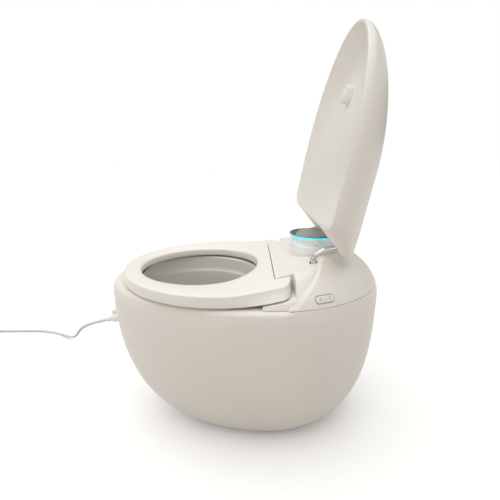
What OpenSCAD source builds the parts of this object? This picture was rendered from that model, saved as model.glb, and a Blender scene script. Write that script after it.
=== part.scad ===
// Electric composting toilet: an egg-shaped tub on a round gasket, with a
// flap, a bin and an agitator under the bowl, a fan and a vent on the far side,
// a raised control puck behind the seat and a deep lid on two bent arms.
// Millimetres. +Z is up, the user sits facing -X, the origin is on the floor
// under the middle of the base.

/* [Body] */
// Distance from the origin back to where the tub is widest
wide_x = 10; // [5:1:15]
// Length of the tub in front of its widest place
front_reach = 389; // [384:1:394]
// Length of the tub behind its widest place
rear_reach = 272; // [268:1:276]
// Half of the width of the tub
half_width = 245; // [241:1:249]
// Height at which the tub is widest
belly_z = 355; // [352:1:358]
// Height of the top of the rim
rim_z = 383; // [381:1:386]
// Length of the foot in front of the widest place
front_foot = 133; // [128:1:138]
// Length of the foot behind the widest place
rear_foot = 67; // [64:1:72]
// Half of the width of the foot
side_foot = 100; // [97:1:104]
// Height of the crown above the widest height
crown_h = 137; // [134:1:140]
// Wall of the tub
tub_wall = 9; // [7:0.5:10]
// Width of the rim
rim_w = 24; // [22:1:26]
// Rounding of the rim in front of the deck
rim_round = 13; // [10:1:14]
// Thickness of the rubber pad under the tub
foot_h = 4; // [3:0.5:5]

/* [Bowl] */
// Place of the middle of the bowl along the tub
bowl_x = -165; // [-168:1:-162]
// How far the bowl's collar lies outside the seat's opening at the sides
seat_over = 6; // [4:1:7]
// Height of the ledge in the bowl
ledge_z = 342; // [338:1:346]
// Radius of the outlet
outlet_r = 55; // [50:1:60]
// Height of the lower end of the outlet
outlet_z = 172; // [168:1:176]
// Wall of the bowl
bowl_wall = 4; // [3:0.5:5]

/* [Seat] */
// Height of the seat at its front
seat_z = 413; // [411:1:416]
// Thickness of the seat
seat_h = 25; // [22:1:25]
// Rise of the seat towards its hinge
seat_rise = 16; // [15:0.5:17]
// How far the seat's sides lie inside the tub's widest place
seat_side = 13; // [10:1:17]
// Width of the seat's ring at its sides
seat_w = 80; // [77:1:87]
// Place of the straight rear edge of the seat
split_x = 17; // [15:1:19]
// Width of the wings beside that rear edge
wing_w = 75; // [72:1:78]
// Rear end of the wings
wing_x = 53; // [51:1:54]
// Diameter of the pins that the seat turns on
seat_pin_d = 7; // [6:0.5:8]

/* [Deck] */
// Height of the deck where the puck stands
deck_z = 449; // [447:1:450]
// Radius of the front edge of the rear cover, seen from above
band_r = 368; // [366:1:370]
// Half of the width of the channel that the puck stands in
channel_half_w = 108; // [106:1:110]
// Rear end of that channel
channel_x = 204; // [200:1:206]
// Wall of the rear cover
cover_wall = 6; // [5:0.5:7]

/* [Puck] */
// Place of the puck's middle
puck_x = 125; // [124:1:127]
// Radius of the puck
puck_r = 61; // [59:1:62]
// Height of the glass
glass_z = 490; // [488:1:491]
// Thickness of the glass
glass_h = 5; // [4:0.5:6]
// Thickness of the light ring
ring_h = 4; // [3:0.5:5]

/* [Lid] */
// Length of the lid along its rim
lid_len = 420; // [416:1:424]
// Half of the width of the lid
lid_half_w = 249; // [246:1:252]
// Depth of the lid's dome behind its rim
lid_depth = 119; // [116:1:121]
// Wall of the lid
lid_wall = 7; // [6:0.5:8]
// Angle that the open lid leans back
lid_lean = 11.2; // [10.5:0.1:12]
// Place of the lid's hinge
lid_hinge_x = 105; // [104:1:106]
// Height of the lid's hinge
lid_hinge_z = 452; // [451:1:453]
// Distance of the arms from the middle
arm_y = 110; // [109:1:112]
// Diameter of the arms
arm_d = 9.4; // [8:0.2:10]
// Radius of the arms' bend
arm_bend = 34; // [33:0.5:35]
// Diameter of the lid's hinge pins
lid_pin_d = 5; // [4:0.5:6]

/* [Buttons] */
// Length of the button pad
pad_len = 44; // [42:1:48]
// Height of the button pad
pad_w = 17; // [15:1:18]
// Travel of the buttons
button_travel = 1.5; // [1:0.1:2]

/* [Composting parts] */
// Length of the bin
bin_len = 296; // [290:2:300]
// Width of the bin
bin_w = 210; // [204:2:212]
// Height of the bin
bin_h = 98; // [94:1:100]
// Wall of the bin
bin_wall = 4; // [3:0.5:5]
// Place of the agitator's shaft
shaft_x = 20; // [16:1:24]
// Diameter of the agitator's shaft
shaft_d = 12; // [10:0.5:14]
// Reach of the agitator's paddles
paddle_r = 50; // [46:1:52]
// Tooth size of the gears
gear_module = 2; // [1.8:0.1:2.1]
// Teeth on the agitator's gear
gear_teeth = 40; // [38:2:42]
// Teeth on the motor's pinion
pinion_teeth = 12; // [12:2:14]
// Width of the gears
gear_w = 10; // [8:1:12]
// Outer diameter of the vent
vent_d = 75; // [72:1:78]
// Place of the vent along the tub
vent_x = 150; // [146:1:154]
// Height of the vent
vent_z = 250; // [246:1:254]
// Blades on the fan
fan_blades = 7; // [5:1:9]

/* [Cord] */
// Diameter of the mains cord
cord_d = 9; // [8.5:0.1:9]
// Middle radius of the coil's outer turn
coil_r = 59; // [58:0.5:60]

/* [Fits] */
// Clearance between pieces
run_gap = 0.3; // [0.2:0.05:0.4]
// Clearance of a pin in its bore, on the radius
pin_gap = 0.06; // [0.04:0.01:0.08]
// Gap at a seam between covers
seam_gap = 0.6; // [0.4:0.1:1]

/* [Hidden] */
$fn = 48;

// Sizes of the seat and the bowl that follow the tub's width
seat_half_w = half_width - seat_side;
hole_half_w = seat_half_w - seat_w;
split_half_w = seat_half_w - wing_w;
bowl_half_w = hole_half_w + seat_over;

// How the body curves
sides = 60;
front_pow = 2.34;
rear_pow = 2.85;
side_pow = 1.8;
crown_pow = 2.05;
floor_z = foot_h + 10;

// Fall of a quarter superellipse, from 0 at t = 0 to 1 at t = 1
function swell(t, p) = pow(1 - pow(1 - min(1, max(0, t)), p), 1 / p);
function smooth(t) = let (u = min(1, max(0, t))) u * u * (3 - 2 * u);
function reach(half, foot, z, p) = foot + (half - foot) * swell(z / belly_z, p);
function crown_share(z) = pow(1 - pow((z - belly_z) / crown_h, crown_pow), 1 / crown_pow);
function crown_z(k) = belly_z + crown_h * pow(1 - pow(min(1, k), crown_pow), 1 / crown_pow);
function is_front(a) = cos(a) < 0;

// A point on the outside of the body at angle a, height z, moved inwards
function body_point(a, z, inset) =
    let (k = z > belly_z ? crown_share(z) : 1)
    let (half = is_front(a) ? reach(front_reach, front_foot, z, front_pow)
        : reach(rear_reach, rear_foot, z, rear_pow))
    let (side = reach(half_width, side_foot, z, side_pow))
    [wide_x + (half * k - inset) * cos(a), (side * k - inset) * sin(a), z];
function body_ring(z, inset) = [for (i = [0:sides - 1]) body_point(360 * i / sides, z, inset)];

// How far out a plan point lies, 0 on the body's axis and 1 on its widest outline
function spread(x, y, inset) =
    let (half = x < wide_x ? front_reach : rear_reach)
    norm([(x - wide_x) / (half - inset), y / (half_width - inset)]);
function dome_z(x, y, inset) = crown_z(spread(x, y, inset)) - inset / 2;

// A closed skin over rings that all have the same count of points
module skin(rings) {
    n = len(rings[0]);
    m = len(rings);
    walls = [for (j = [0:m - 2], i = [0:n - 1]) let (k = (i + 1) % n)
        each [[j * n + i, (j + 1) * n + i, (j + 1) * n + k],
            [j * n + i, (j + 1) * n + k, j * n + k]]];
    first_cap = [[for (i = [0:n - 1]) i]];
    last_cap = [[for (i = [n - 1:-1:0]) (m - 1) * n + i]];
    polyhedron(points = [for (r = rings) each r], faces = concat(walls, first_cap, last_cap));
}

// A skin whose last ring closes on one point
module skin_to_point(rings, tip) {
    n = len(rings[0]);
    m = len(rings);
    walls = [for (j = [0:m - 2], i = [0:n - 1]) let (k = (i + 1) % n)
        each [[j * n + i, (j + 1) * n + i, (j + 1) * n + k],
            [j * n + i, (j + 1) * n + k, j * n + k]]];
    first_cap = [[for (i = [0:n - 1]) i]];
    fan = [for (i = [0:n - 1]) [(m - 1) * n + i, m * n, (m - 1) * n + (i + 1) % n]];
    polyhedron(points = concat([for (r = rings) each r], [tip]),
        faces = concat(walls, first_cap, fan));
}

// A skin that closes on itself, like a seat ring
module skin_loop(rings) {
    n = len(rings[0]);
    m = len(rings);
    polyhedron(points = [for (r = rings) each r],
        faces = [for (j = [0:m - 1], i = [0:n - 1]) let (k = (i + 1) % n, l = (j + 1) % m)
            each [[j * n + i, l * n + i, l * n + k], [j * n + i, l * n + k, j * n + k]]]);
}

// A round-cornered rectangle about the origin
module round_rect(length, width, r) {
    corner_steps = 6;
    polygon([for (q = [0:3], s = [0:corner_steps])
        let (a = 90 * q + 90 * s / corner_steps)
        let (sx = q == 0 || q == 3 ? 1 : -1, sy = q < 2 ? 1 : -1)
        [sx * (length / 2 - r) + r * cos(a), sy * (width / 2 - r) + r * sin(a)]]);
}

// A round bar along Y, by its middle
module bar_y(x, y, z, d, length) {
    translate([x, y, z]) rotate([90, 0, 0]) cylinder(d = d, h = length, center = true);
}

// ---- Tub ----

// Rim rounding: full in front of the deck, nearly sharp where the cover sits
rear_round = 1.5;
blend_from = 30;
blend_to = 70;
rim_steps = 3;
rim_plate = 8;
function rim_radius(a) =
    let (x = body_point(a, rim_z, 0).x)
    rim_round + (rear_round - rim_round) * smooth((x - blend_from) / (blend_to - blend_from));
function rim_ring(step) = [for (i = [0:sides - 1])
    let (a = 360 * i / sides, r = rim_radius(a), turn = 90 * step / rim_steps)
    let (p = body_point(a, rim_z - r, 0))
    [p.x - r * (1 - cos(turn)) * cos(a), p.y - r * (1 - cos(turn)) * sin(a),
        rim_z - r + r * sin(turn)]];
wall_heights = [foot_h, 12, 26, 50, 85, 130, 185, 245, 305];
hollow_heights = [305, 245, 185, 130, 85, 50, 26, floor_z];

module tub_shell() {
    color("linen") difference() {
        skin(concat([for (z = wall_heights) body_ring(z, 0)],
            [body_ring(belly_z, 0)],
            [for (s = [0:rim_steps]) rim_ring(s)],
            [body_ring(rim_z, rim_w), body_ring(rim_z - rim_plate, rim_w),
                body_ring(rim_z - rim_plate - rim_w / 2, tub_wall)],
            [for (z = hollow_heights) body_ring(z, tub_wall)]));
        bar_y(vent_x, half_width, vent_z, vent_d + 2 * run_gap, half_width);
        at_gland() {
            cylinder(r = gland_r + run_gap, h = 40);
            translate([0, 0, -40]) cylinder(r = stem_r + run_gap, h = 80);
        }
    }
}

foot_inset = 6;
module foot_pad() {
    color("dimgray") linear_extrude(foot_h)
        polygon([for (p = body_ring(foot_h, foot_inset)) [p.x, p.y]]);
}

// ---- Bowl and flap ----

// The flange of the bowl reaches the tub's rim in front and ends straight behind
flange_end = split_x - 1;
function to_rim(a) =
    let (ax = front_reach * crown_share(rim_z) - rim_w - seam_gap)
    let (ay = half_width * crown_share(rim_z) - rim_w - seam_gap)
    let (dx = cos(a) / ax, dy = sin(a) / ay, ox = (bowl_x - wide_x) / ax)
    let (qa = dx * dx + dy * dy, qb = ox * dx, qc = ox * ox - 1)
    (-qb + sqrt(qb * qb - qa * qc)) / qa;
function to_flange_end(a) = cos(a) > 0.05 ? (flange_end - bowl_x) / cos(a) : 10000;
function flange_ring(z) = [for (i = [0:sides - 1])
    let (a = 360 * i / sides, r = min(to_rim(a), to_flange_end(a)))
    [bowl_x + r * cos(a), r * sin(a), z]];
bowl_front = 174;
bowl_rear = 155;
outlet_x = -130;
// An egg in plan, with share k of the collar's size, drawn to the outlet's middle
function bowl_ring(z, k, pull, extra) = [for (i = [0:sides - 1])
    let (a = 360 * i / sides, half = is_front(a) ? bowl_front : bowl_rear)
    [bowl_x + (outlet_x - bowl_x) * pull + (half * k + extra) * cos(a),
        (bowl_half_w * k + extra) * sin(a), z]];
function outlet_ring(z, r) = [for (i = [0:sides - 1])
    let (a = 360 * i / sides) [outlet_x + r * cos(a), r * sin(a), z]];
flange_h = 5;
ledge_share = 0.955;
throat_z = 195;

module bowl_liner() {
    color("gainsboro") difference() {
        skin_loop([
            flange_ring(rim_z - flange_h),
            flange_ring(rim_z),
            bowl_ring(rim_z, 1.01, 0, 0),
            bowl_ring(rim_z - 6, 1, 0, 0),
            bowl_ring(ledge_z + 3, 0.985, 0, 0),
            bowl_ring(ledge_z, ledge_share, 0, 0),
            bowl_ring(ledge_z - 40, 0.88, 0.1, 0),
            bowl_ring(ledge_z - 80, 0.78, 0.3, 0),
            bowl_ring(ledge_z - 115, 0.62, 0.6, 0),
            bowl_ring(throat_z + 14, 0.46, 0.9, 0),
            outlet_ring(throat_z, outlet_r),
            outlet_ring(outlet_z, outlet_r),
            outlet_ring(outlet_z, outlet_r + bowl_wall),
            outlet_ring(throat_z, outlet_r + bowl_wall),
            bowl_ring(throat_z + 12, 0.46, 0.9, bowl_wall),
            bowl_ring(ledge_z - 117, 0.62, 0.6, bowl_wall),
            bowl_ring(ledge_z - 82, 0.78, 0.3, bowl_wall),
            bowl_ring(ledge_z - 42, 0.88, 0.1, bowl_wall),
            bowl_ring(ledge_z - bowl_wall, 0.955, 0, bowl_wall),
            bowl_ring(rim_z - flange_h, 1, 0, bowl_wall)]);
    }
}

flap_r = outlet_r + 3;
flap_h = 4;
flap_pin_x = outlet_x - outlet_r - 14;
flap_pin_z = outlet_z - 8;
flap_pin_d = 5;
ear_gap = 24;
ear_w = 5;
ear_r = 7;

// Two ears that hang from a plate clamped against the outlet's wall
module flap_bracket() {
    plate_x = outlet_x - outlet_r - bowl_wall - seam_gap;
    color("silver") difference() {
        union() {
            for (s = [-1, 1]) {
                translate([0, s * (ear_gap / 2 + ear_w / 2), 0]) {
                    bar_y(flap_pin_x, 0, flap_pin_z, 2 * ear_r, ear_w);
                    translate([flap_pin_x - ear_r, -ear_w / 2, flap_pin_z])
                        cube([plate_x - flap_pin_x + ear_r, ear_w, outlet_z + 18 - flap_pin_z]);
                }
            }
            translate([plate_x - 4, -ear_gap / 2, outlet_z])
                cube([4, ear_gap, 18]);
        }
        bar_y(flap_pin_x, 0, flap_pin_z, flap_pin_d, 3 * ear_gap);
        translate([outlet_x, 0, outlet_z - 20])
            cylinder(r = outlet_r + bowl_wall + run_gap, h = 60, $fn = 96);
    }
}

module flap_pin() {
    color("lightgray") bar_y(flap_pin_x, 0, flap_pin_z, flap_pin_d - 2 * pin_gap, ear_gap + 2 * ear_w + 4);
}

module trap_flap() {
    arm_w = ear_gap - 2 * run_gap - 2;
    eye_r = ear_r - 1;
    color("dimgray") difference() {
        union() {
            translate([outlet_x, 0, outlet_z - flap_h - run_gap]) cylinder(r = flap_r, h = flap_h);
            bar_y(flap_pin_x, 0, flap_pin_z, 2 * eye_r, arm_w);
            translate([flap_pin_x, -arm_w / 2, flap_pin_z - 2])
                cube([20, arm_w, outlet_z - run_gap - flap_pin_z + 2]);
        }
        bar_y(flap_pin_x, 0, flap_pin_z, flap_pin_d, 2 * ear_gap);
    }
}

// ---- Bin, agitator and drive ----

bin_x = -40;
bin_corner = 38;
bin_z = 36;
pad_h = 2.6;
shaft_z = bin_z + 64;
bush_d = shaft_d + 8;
bush_flange_d = bush_d + 8;
bush_flange_h = 2;
far_wall = bin_w / 2;
gear_y = far_wall + 6;
pinion_x = shaft_x + gear_module * (gear_teeth + pinion_teeth) / 2;
bracket_y = gear_y + gear_w + 3;
bracket_h = 3;
motor_d = 40;
motor_len = 26;
motor_shaft_d = 5;
post_d = 8;
post_places = [[6, -26], [6, 26]];

module compost_bin() {
    color("darkslategray") difference() {
        translate([bin_x, 0, bin_z]) linear_extrude(bin_h) round_rect(bin_len, bin_w, bin_corner);
        translate([bin_x, 0, bin_z + bin_wall]) linear_extrude(bin_h)
            round_rect(bin_len - 2 * bin_wall, bin_w - 2 * bin_wall, bin_corner - bin_wall);
        bar_y(shaft_x, 0, shaft_z, bush_d, 2 * bin_w);
    }
}

cradle_len = 200;
cradle_w = 150;
cradle_rail = 14;
module bin_cradle() {
    top = bin_z - pad_h - 2 * run_gap;
    color("slategray") translate([bin_x, 0, floor_z]) linear_extrude(top - floor_z) difference() {
        square([cradle_len, cradle_w], center = true);
        square([cradle_len - 2 * cradle_rail, cradle_w - 2 * cradle_rail], center = true);
    }
}

module heater_pad() {
    color("orangered") translate([bin_x, 0, bin_z - pad_h - run_gap])
        linear_extrude(pad_h) round_rect(cradle_len + 10, cradle_w + 10, 8);
}

// One flanged bush in each side wall of the bin
module shaft_bushes() {
    color("goldenrod") for (s = [-1, 1]) {
        difference() {
            union() {
                bar_y(shaft_x, s * (far_wall - bin_wall / 2), shaft_z, bush_d - 2 * pin_gap, bin_wall);
                bar_y(shaft_x, s * (far_wall + bush_flange_h / 2), shaft_z,
                    bush_flange_d, bush_flange_h);
            }
            bar_y(shaft_x, 0, shaft_z, shaft_d + 2 * pin_gap, 2 * bin_w);
        }
    }
}

// Shaft with four rows of paddles, and a collar that stops it at the near bush
paddle_w = 14;
paddle_t = 4;
module agitator() {
    shaft_end = gear_y + gear_w + 1;
    near_end = far_wall + bush_flange_h + 4;
    color("lightslategray") union() {
        translate([shaft_x, shaft_end, shaft_z]) rotate([90, 0, 0])
            cylinder(d = shaft_d, h = shaft_end + near_end);
        bar_y(shaft_x, -near_end + 1.5, shaft_z, shaft_d + 6, 3);
        for (i = [0:3]) {
            translate([shaft_x, -66 + 44 * i, shaft_z]) rotate([0, 90 * i, 0])
                translate([-paddle_t / 2, -paddle_w / 2, 0]) cube([paddle_t, paddle_w, paddle_r]);
        }
    }
}

// A spur gear with straight-flanked teeth, about the origin
module spur(teeth, tooth_share) {
    pitch_r = gear_module * teeth / 2;
    outer_r = pitch_r + 0.8 * gear_module;
    root_r = pitch_r - 1.15 * gear_module;
    step = 360 / teeth;
    polygon([for (i = [0:teeth - 1], c = [[-0.5, root_r, 1.5], [-0.5, outer_r, 0.62],
            [0.5, outer_r, 0.62], [0.5, root_r, 1.5]])
        let (a = step * (i + c[0] * tooth_share * c[2])) [c[1] * cos(a), c[1] * sin(a)]]);
}

module drive_gear() {
    color("ivory") difference() {
        translate([shaft_x, gear_y + gear_w, shaft_z]) rotate([90, 0, 0])
            linear_extrude(gear_w) difference() {
                spur(gear_teeth, 0.44);
                for (i = [0:4]) rotate(36 + 72 * i) translate([24, 0]) circle(r = 8);
            }
        bar_y(shaft_x, gear_y, shaft_z, shaft_d + 2 * pin_gap, 4 * gear_w);
    }
}

module motor_pinion() {
    color("silver") union() {
        translate([pinion_x, gear_y + gear_w, shaft_z]) rotate([90, 0, 0])
            linear_extrude(gear_w) rotate(180 - 180 / pinion_teeth) spur(pinion_teeth, 0.44);
        bar_y(pinion_x, bracket_y, shaft_z, motor_shaft_d, 2 * (bracket_y - gear_y - gear_w) + 0.01);
    }
}

module motor_bracket() {
    color("silver") difference() {
        union() {
            translate([pinion_x - 30, bracket_y, shaft_z - 30]) cube([60, bracket_h, 60]);
            for (p = post_places)
                translate([pinion_x + p[0], bracket_y, shaft_z + p[1]]) rotate([90, 0, 0])
                    cylinder(d = post_d, h = bracket_y - far_wall - run_gap);
        }
        bar_y(pinion_x, bracket_y, shaft_z, motor_shaft_d + 3, 20);
    }
}

module gear_motor() {
    face_y = bracket_y + bracket_h + run_gap;
    color("dimgray") difference() {
        union() {
            bar_y(pinion_x, face_y + motor_len / 2, shaft_z, motor_d, motor_len);
            bar_y(pinion_x, face_y + motor_len + 1, shaft_z, motor_d / 2, 2);
        }
        bar_y(pinion_x, face_y, shaft_z, motor_shaft_d + 2 * run_gap, 12);
    }
}

// ---- Vent and fan ----

vent_wall = 2.5;
vent_out = half_width - 13;
vent_in = vent_out - 97;
mouth_len = 34;
mouth_wall = 1.5;
collar_flange = 9;
fan_len = 40;
fan_wall = 1.5;
fan_hub_d = 26;

// A socket for the vent pipe, with a wider mouth that leads the pipe in
module vent_collar() {
    color("white") difference() {
        union() {
            translate([vent_x, vent_out, vent_z]) rotate([90, 0, 0])
                cylinder(d = vent_d, h = vent_out - vent_in);
            translate([vent_x, vent_in + 4, vent_z]) rotate([90, 0, 0])
                cylinder(d = vent_d + 2 * collar_flange, h = 4);
            translate([vent_x, vent_out, vent_z]) rotate([90, 0, 0])
                cylinder(d = vent_d + 2, h = 5);
        }
        bar_y(vent_x, 0, vent_z, vent_d - 2 * vent_wall, 3 * vent_out);
        translate([vent_x, vent_out + 1, vent_z]) rotate([90, 0, 0])
            cylinder(d = vent_d - 2 * mouth_wall, h = mouth_len + 1);
    }
}

// A tube with a motor seat on three spokes
spoke_w = 4;
module fan_housing() {
    back = vent_in - fan_len - run_gap;
    inner = vent_d / 2 - fan_wall;
    flange_from = fan_len - 4;
    color("black") translate([vent_x, back, vent_z]) rotate([-90, 0, 0]) union() {
        rotate_extrude() polygon([[inner, 0], [vent_d / 2, 0], [vent_d / 2, flange_from],
            [vent_d / 2 + collar_flange, flange_from], [vent_d / 2 + collar_flange, fan_len],
            [inner, fan_len]]);
        translate([0, 0, 1]) cylinder(d = fan_hub_d, h = 9);
        for (i = [0:2])
            rotate(120 * i + 15) translate([fan_hub_d / 2 - 1, -spoke_w / 2, 2])
                cube([(vent_d - fan_wall - fan_hub_d) / 2 + 1, spoke_w, 4]);
    }
}

module fan_rotor() {
    back = vent_in - fan_len + 10 + run_gap;
    blade_r = vent_d / 2 - vent_wall - 1.2;
    color("dimgray") union() {
        bar_y(vent_x, back + 8, vent_z, fan_hub_d, 16);
        for (i = [0:fan_blades - 1])
            translate([vent_x, back + 8, vent_z]) rotate([0, 360 * i / fan_blades, 0])
                translate([0, 0, fan_hub_d / 2 - 1]) rotate([0, 0, 38])
                    translate([-1, -7, 0]) cube([2, 14, blade_r - fan_hub_d / 2 + 0.6]);
    }
}

// ---- Deck, cover and puck ----

band_x = -231;
deck_inset = 5;
deck_floor = rim_z + seam_gap;
ramp_from = 115;
ramp_back = 98;
ramp_drop = 22;
ramp_soft = 9;
ramp_most = 1.4;
function ramp_z(x) = deck_z
    - ramp_drop * min(ramp_most, pow(max(0, ramp_from - x) / ramp_back, 2));
function soft_min(a, b, w) = let (h = min(1, max(0, 0.5 + 0.5 * (b - a) / w)))
    b + (a - b) * h - w * h * (1 - h) / 2;
function deck_top(x, y) = soft_min(ramp_z(x), dome_z(x, y, deck_inset), ramp_soft);
deck_shares = [1, 0.985, 0.96, 0.925, 0.88, 0.82, 0.74, 0.64, 0.52, 0.4, 0.28, 0.18, 0.1, 0.04];
deck_edge = crown_share(deck_floor + deck_inset / 2);
function deck_ring(k) = [for (i = [0:sides - 1])
    let (a = 360 * i / sides, half = (is_front(a) ? front_reach : rear_reach) - deck_inset)
    let (x = wide_x + half * deck_edge * k * cos(a))
    let (y = (half_width - deck_inset) * deck_edge * k * sin(a))
    [x, y, k == 1 ? deck_floor + 0.5 : deck_top(x, y)]];

// Seat surfaces, shared by the seat and by the pockets under its wings
rise_from = -95;
rise_len = 147;
function seat_lift(x) = seat_rise * pow(max(0, x - rise_from) / rise_len, 2);
cheek_x = -10;
pocket_gap = 2;
seat_axis_x = wing_x - 8;
seat_axis_z = seat_z + seat_lift(seat_axis_x) - 7;

// Cutting blocks end past the body, at these distances
past_side = half_width + 55;
past_top = belly_z + crown_h + 100;
past_end = front_reach + 211;

// Space that a wing of the seat needs, with a floor that follows its underside
module wing_pocket(side) {
    end_x = wing_x + pocket_gap + 2;
    steps = 4;
    floor_points = [for (i = [0:steps]) let (x = cheek_x - 1 + (end_x - cheek_x + 1) * i / steps)
        [x, seat_z - seat_h - 2 * pocket_gap + seat_lift(x)]];
    translate([0, side > 0 ? past_side : -split_half_w + pocket_gap, 0]) rotate([90, 0, 0])
        linear_extrude(past_side - split_half_w + pocket_gap)
            polygon(concat(floor_points, [[end_x, past_top], [cheek_x - 1, past_top]]));
}

// Plan of what the rear cover leaves open, grown by g
module deck_plan(g) {
    translate([band_x, 0, deck_floor - 1]) cylinder(r = band_r + g, h = 200, $fn = 240);
    translate([0, -channel_half_w - g, deck_floor - 1])
        cube([channel_x + g, 2 * (channel_half_w + g), 200]);
}

deck_roof = 12;
board_bay = 94;
bay_side = 26;
slot_len = 34;
slot_w = 17;
slot_depth = 13;
module rear_deck() {
    color("linen") difference() {
        intersection() {
            skin(concat([[for (p = deck_ring(1)) [p.x, p.y, deck_floor]]],
                [for (k = deck_shares) deck_ring(k)]));
            deck_plan(-seam_gap);
        }
        translate([-past_end, -past_side, deck_floor - 1])
            cube([past_end + cheek_x, 2 * past_side, past_top]);
        translate([-past_end, -split_half_w + pocket_gap, deck_floor - 1])
            cube([past_end + split_x + pocket_gap, 2 * (split_half_w - pocket_gap), past_top]);
        for (s = [-1, 1]) {
            wing_pocket(s);
            translate([lid_hinge_x - 22, s * arm_y - slot_w / 2, lid_hinge_z - slot_depth])
                cube([slot_len, slot_w, 60]);
            bar_y(seat_axis_x, s * (split_half_w - 12), seat_axis_z, seat_pin_d, 26);
        }
        translate([board_x - board_bay / 2, bay_side - channel_half_w, deck_floor - 1])
            cube([board_bay, 2 * (channel_half_w - bay_side), deck_z - deck_roof - deck_floor + 1]);
    }
}

cover_rings = [1, 0.985, 0.96, 0.925, 0.88, 0.82, 0.74, 0.64, 0.5, 0.35, 0.18];
function cover_ring(k, inset) =
    let (edge = crown_share(deck_floor))
    [for (i = [0:sides - 1])
        let (a = 360 * i / sides, half = (is_front(a) ? front_reach : rear_reach))
        let (e = edge - inset / half_width)
        let (x = wide_x + half * e * k * cos(a), y = half_width * e * k * sin(a))
        [x, y, k == 1 ? deck_floor : crown_z(spread(x, y, inset)) - inset]];
pad_x = 114;
pad_z = 400.5;
pad_share = crown_share(pad_z);
pad_side = half_width * pad_share * sqrt(1 - pow((pad_x - wide_x) / (rear_reach * pad_share), 2));
pad_out = 0.5;
pad_y = -pad_side - pad_out;
pad_yaw = 21.5;
pad_tilt = 59.5;
pad_h_out = 1.2;
pad_h_in = 5;
// Places children on the button pad, with +Z out of the cover and +X rearwards
module at_pad() {
    translate([pad_x, pad_y, pad_z]) rotate([0, 0, pad_yaw]) rotate([pad_tilt, 0, 0]) children();
}
module stadium(length, width) {
    hull_r = width / 2;
    square([length - width, width], center = true);
    for (s = [-1, 1]) translate([s * (length / 2 - hull_r), 0]) circle(r = hull_r);
}

module rear_cover() {
    color("linen") difference() {
        skin(concat([for (k = cover_rings) cover_ring(k, 0)]));
        difference() {
            skin(concat([[for (p = cover_ring(1, cover_wall)) [p.x, p.y, deck_floor - 1]]],
                [for (k = cover_rings) cover_ring(k, cover_wall)]));
            deck_plan(cover_wall);
        }
        deck_plan(0);
        at_pad() translate([0, 0, -pad_h_in - run_gap]) linear_extrude(40)
            stadium(pad_len + 2 * run_gap, pad_w + 2 * run_gap);
    }
}

module button_bezel() {
    color("gainsboro") at_pad() difference() {
        translate([0, 0, -pad_h_in]) linear_extrude(pad_h_in + pad_h_out)
            stadium(pad_len, pad_w);
        translate([0, 0, -pad_h_in + 1.5]) linear_extrude(40) stadium(pad_len - 3, pad_w - 3);
    }
}

module button_half(s) {
    gap = 0.5;
    at_pad() translate([0, 0, -pad_h_in + 1.5 + button_travel + run_gap])
        linear_extrude(pad_h_in - 1.5 - button_travel - run_gap + pad_h_out + 0.6)
            intersection() {
                stadium(pad_len - 3 - 2 * run_gap, pad_w - 3 - 2 * run_gap);
                translate([s > 0 ? gap / 2 : -pad_len, -pad_w]) square([pad_len, 2 * pad_w]);
                translate([s > 0 ? 0 : -pad_len - gap / 2, -pad_w]) square([pad_len, 2 * pad_w]);
            }
}
module button_front() { color("white") button_half(-1); }
module button_rear() { color("white") button_half(1); }

// Pedestal of the puck, with a coved top under the light ring
pedestal_foot = 9;
glass_under = glass_z - glass_h;
ring_under = glass_under - run_gap - ring_h;
module puck_pedestal() {
    base = deck_z + run_gap;
    color("white") translate([puck_x, 0, 0]) rotate_extrude($fn = 72) polygon(concat(
        [[0, base], [puck_r - 1, base]],
        [[puck_r - 1, ring_under - 7], [puck_r - 9, ring_under - run_gap],
            [0, ring_under - run_gap]]));
}

module light_ring() {
    color("cyan") translate([puck_x, 0, ring_under]) linear_extrude(ring_h)
        difference() {
            circle(r = puck_r - 0.5, $fn = 96);
            circle(r = puck_r - 12, $fn = 96);
        }
}

module puck_glass() {
    color("dimgray") translate([puck_x, 0, 0]) rotate_extrude($fn = 96) polygon([
        [0, glass_under], [puck_r - 1, glass_under], [puck_r, glass_under + 1],
        [puck_r, glass_z - 2], [puck_r - 1.5, glass_z - 0.5], [puck_r - 4, glass_z],
        [0, glass_z]]);
}

board_x = 150;
board_len = 86;
board_w = 120;
board_h = 1.6;
board_post = 5;
module control_board() {
    top = deck_z - deck_roof - board_post;
    color("darkgreen") union() {
        translate([board_x - board_len / 2, -board_w / 2, top - board_h])
            cube([board_len, board_w, board_h]);
        for (p = [[-30, -40], [-30, 40], [30, -40], [30, 40]])
            translate([board_x + p[0], p[1], top - 0.01])
                cylinder(d = 5, h = board_post - run_gap + 0.01);
        for (p = [[-20, 0, 24, 30, 5], [14, -25, 18, 18, 8], [16, 20, 12, 26, 10]])
            translate([board_x + p[0] - p[2] / 2, p[1] - p[3] / 2, top - board_h - p[4]])
                cube([p[2], p[3], p[4] + 0.01]);
    }
}

// ---- Seat ----

seat_sides = 72;
seat_front_x = -346;
seat_mid_x = -95;
hole_x = -150;
hole_front = 157;
hole_rear = 134;
// Outer edge of the seat: half an ellipse in front, sides drawn in towards the wings
function seat_outer(a) = is_front(a)
    ? [seat_mid_x + (seat_mid_x - seat_front_x) * cos(a),
        seat_half_w * sin(a)]
    : let (u = pow(abs(cos(a)), 0.7), x = seat_mid_x + (wing_x - seat_mid_x) * u)
        [x, (sin(a) < 0 ? -1 : 1) * (seat_half_w - 22 * smooth((x - seat_mid_x) / 130))
            * pow(1 - pow(u, 9), 0.3)];
function seat_inner(a) = [hole_x + (is_front(a) ? hole_front : hole_rear) * cos(a),
    hole_half_w * sin(a)];
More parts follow.
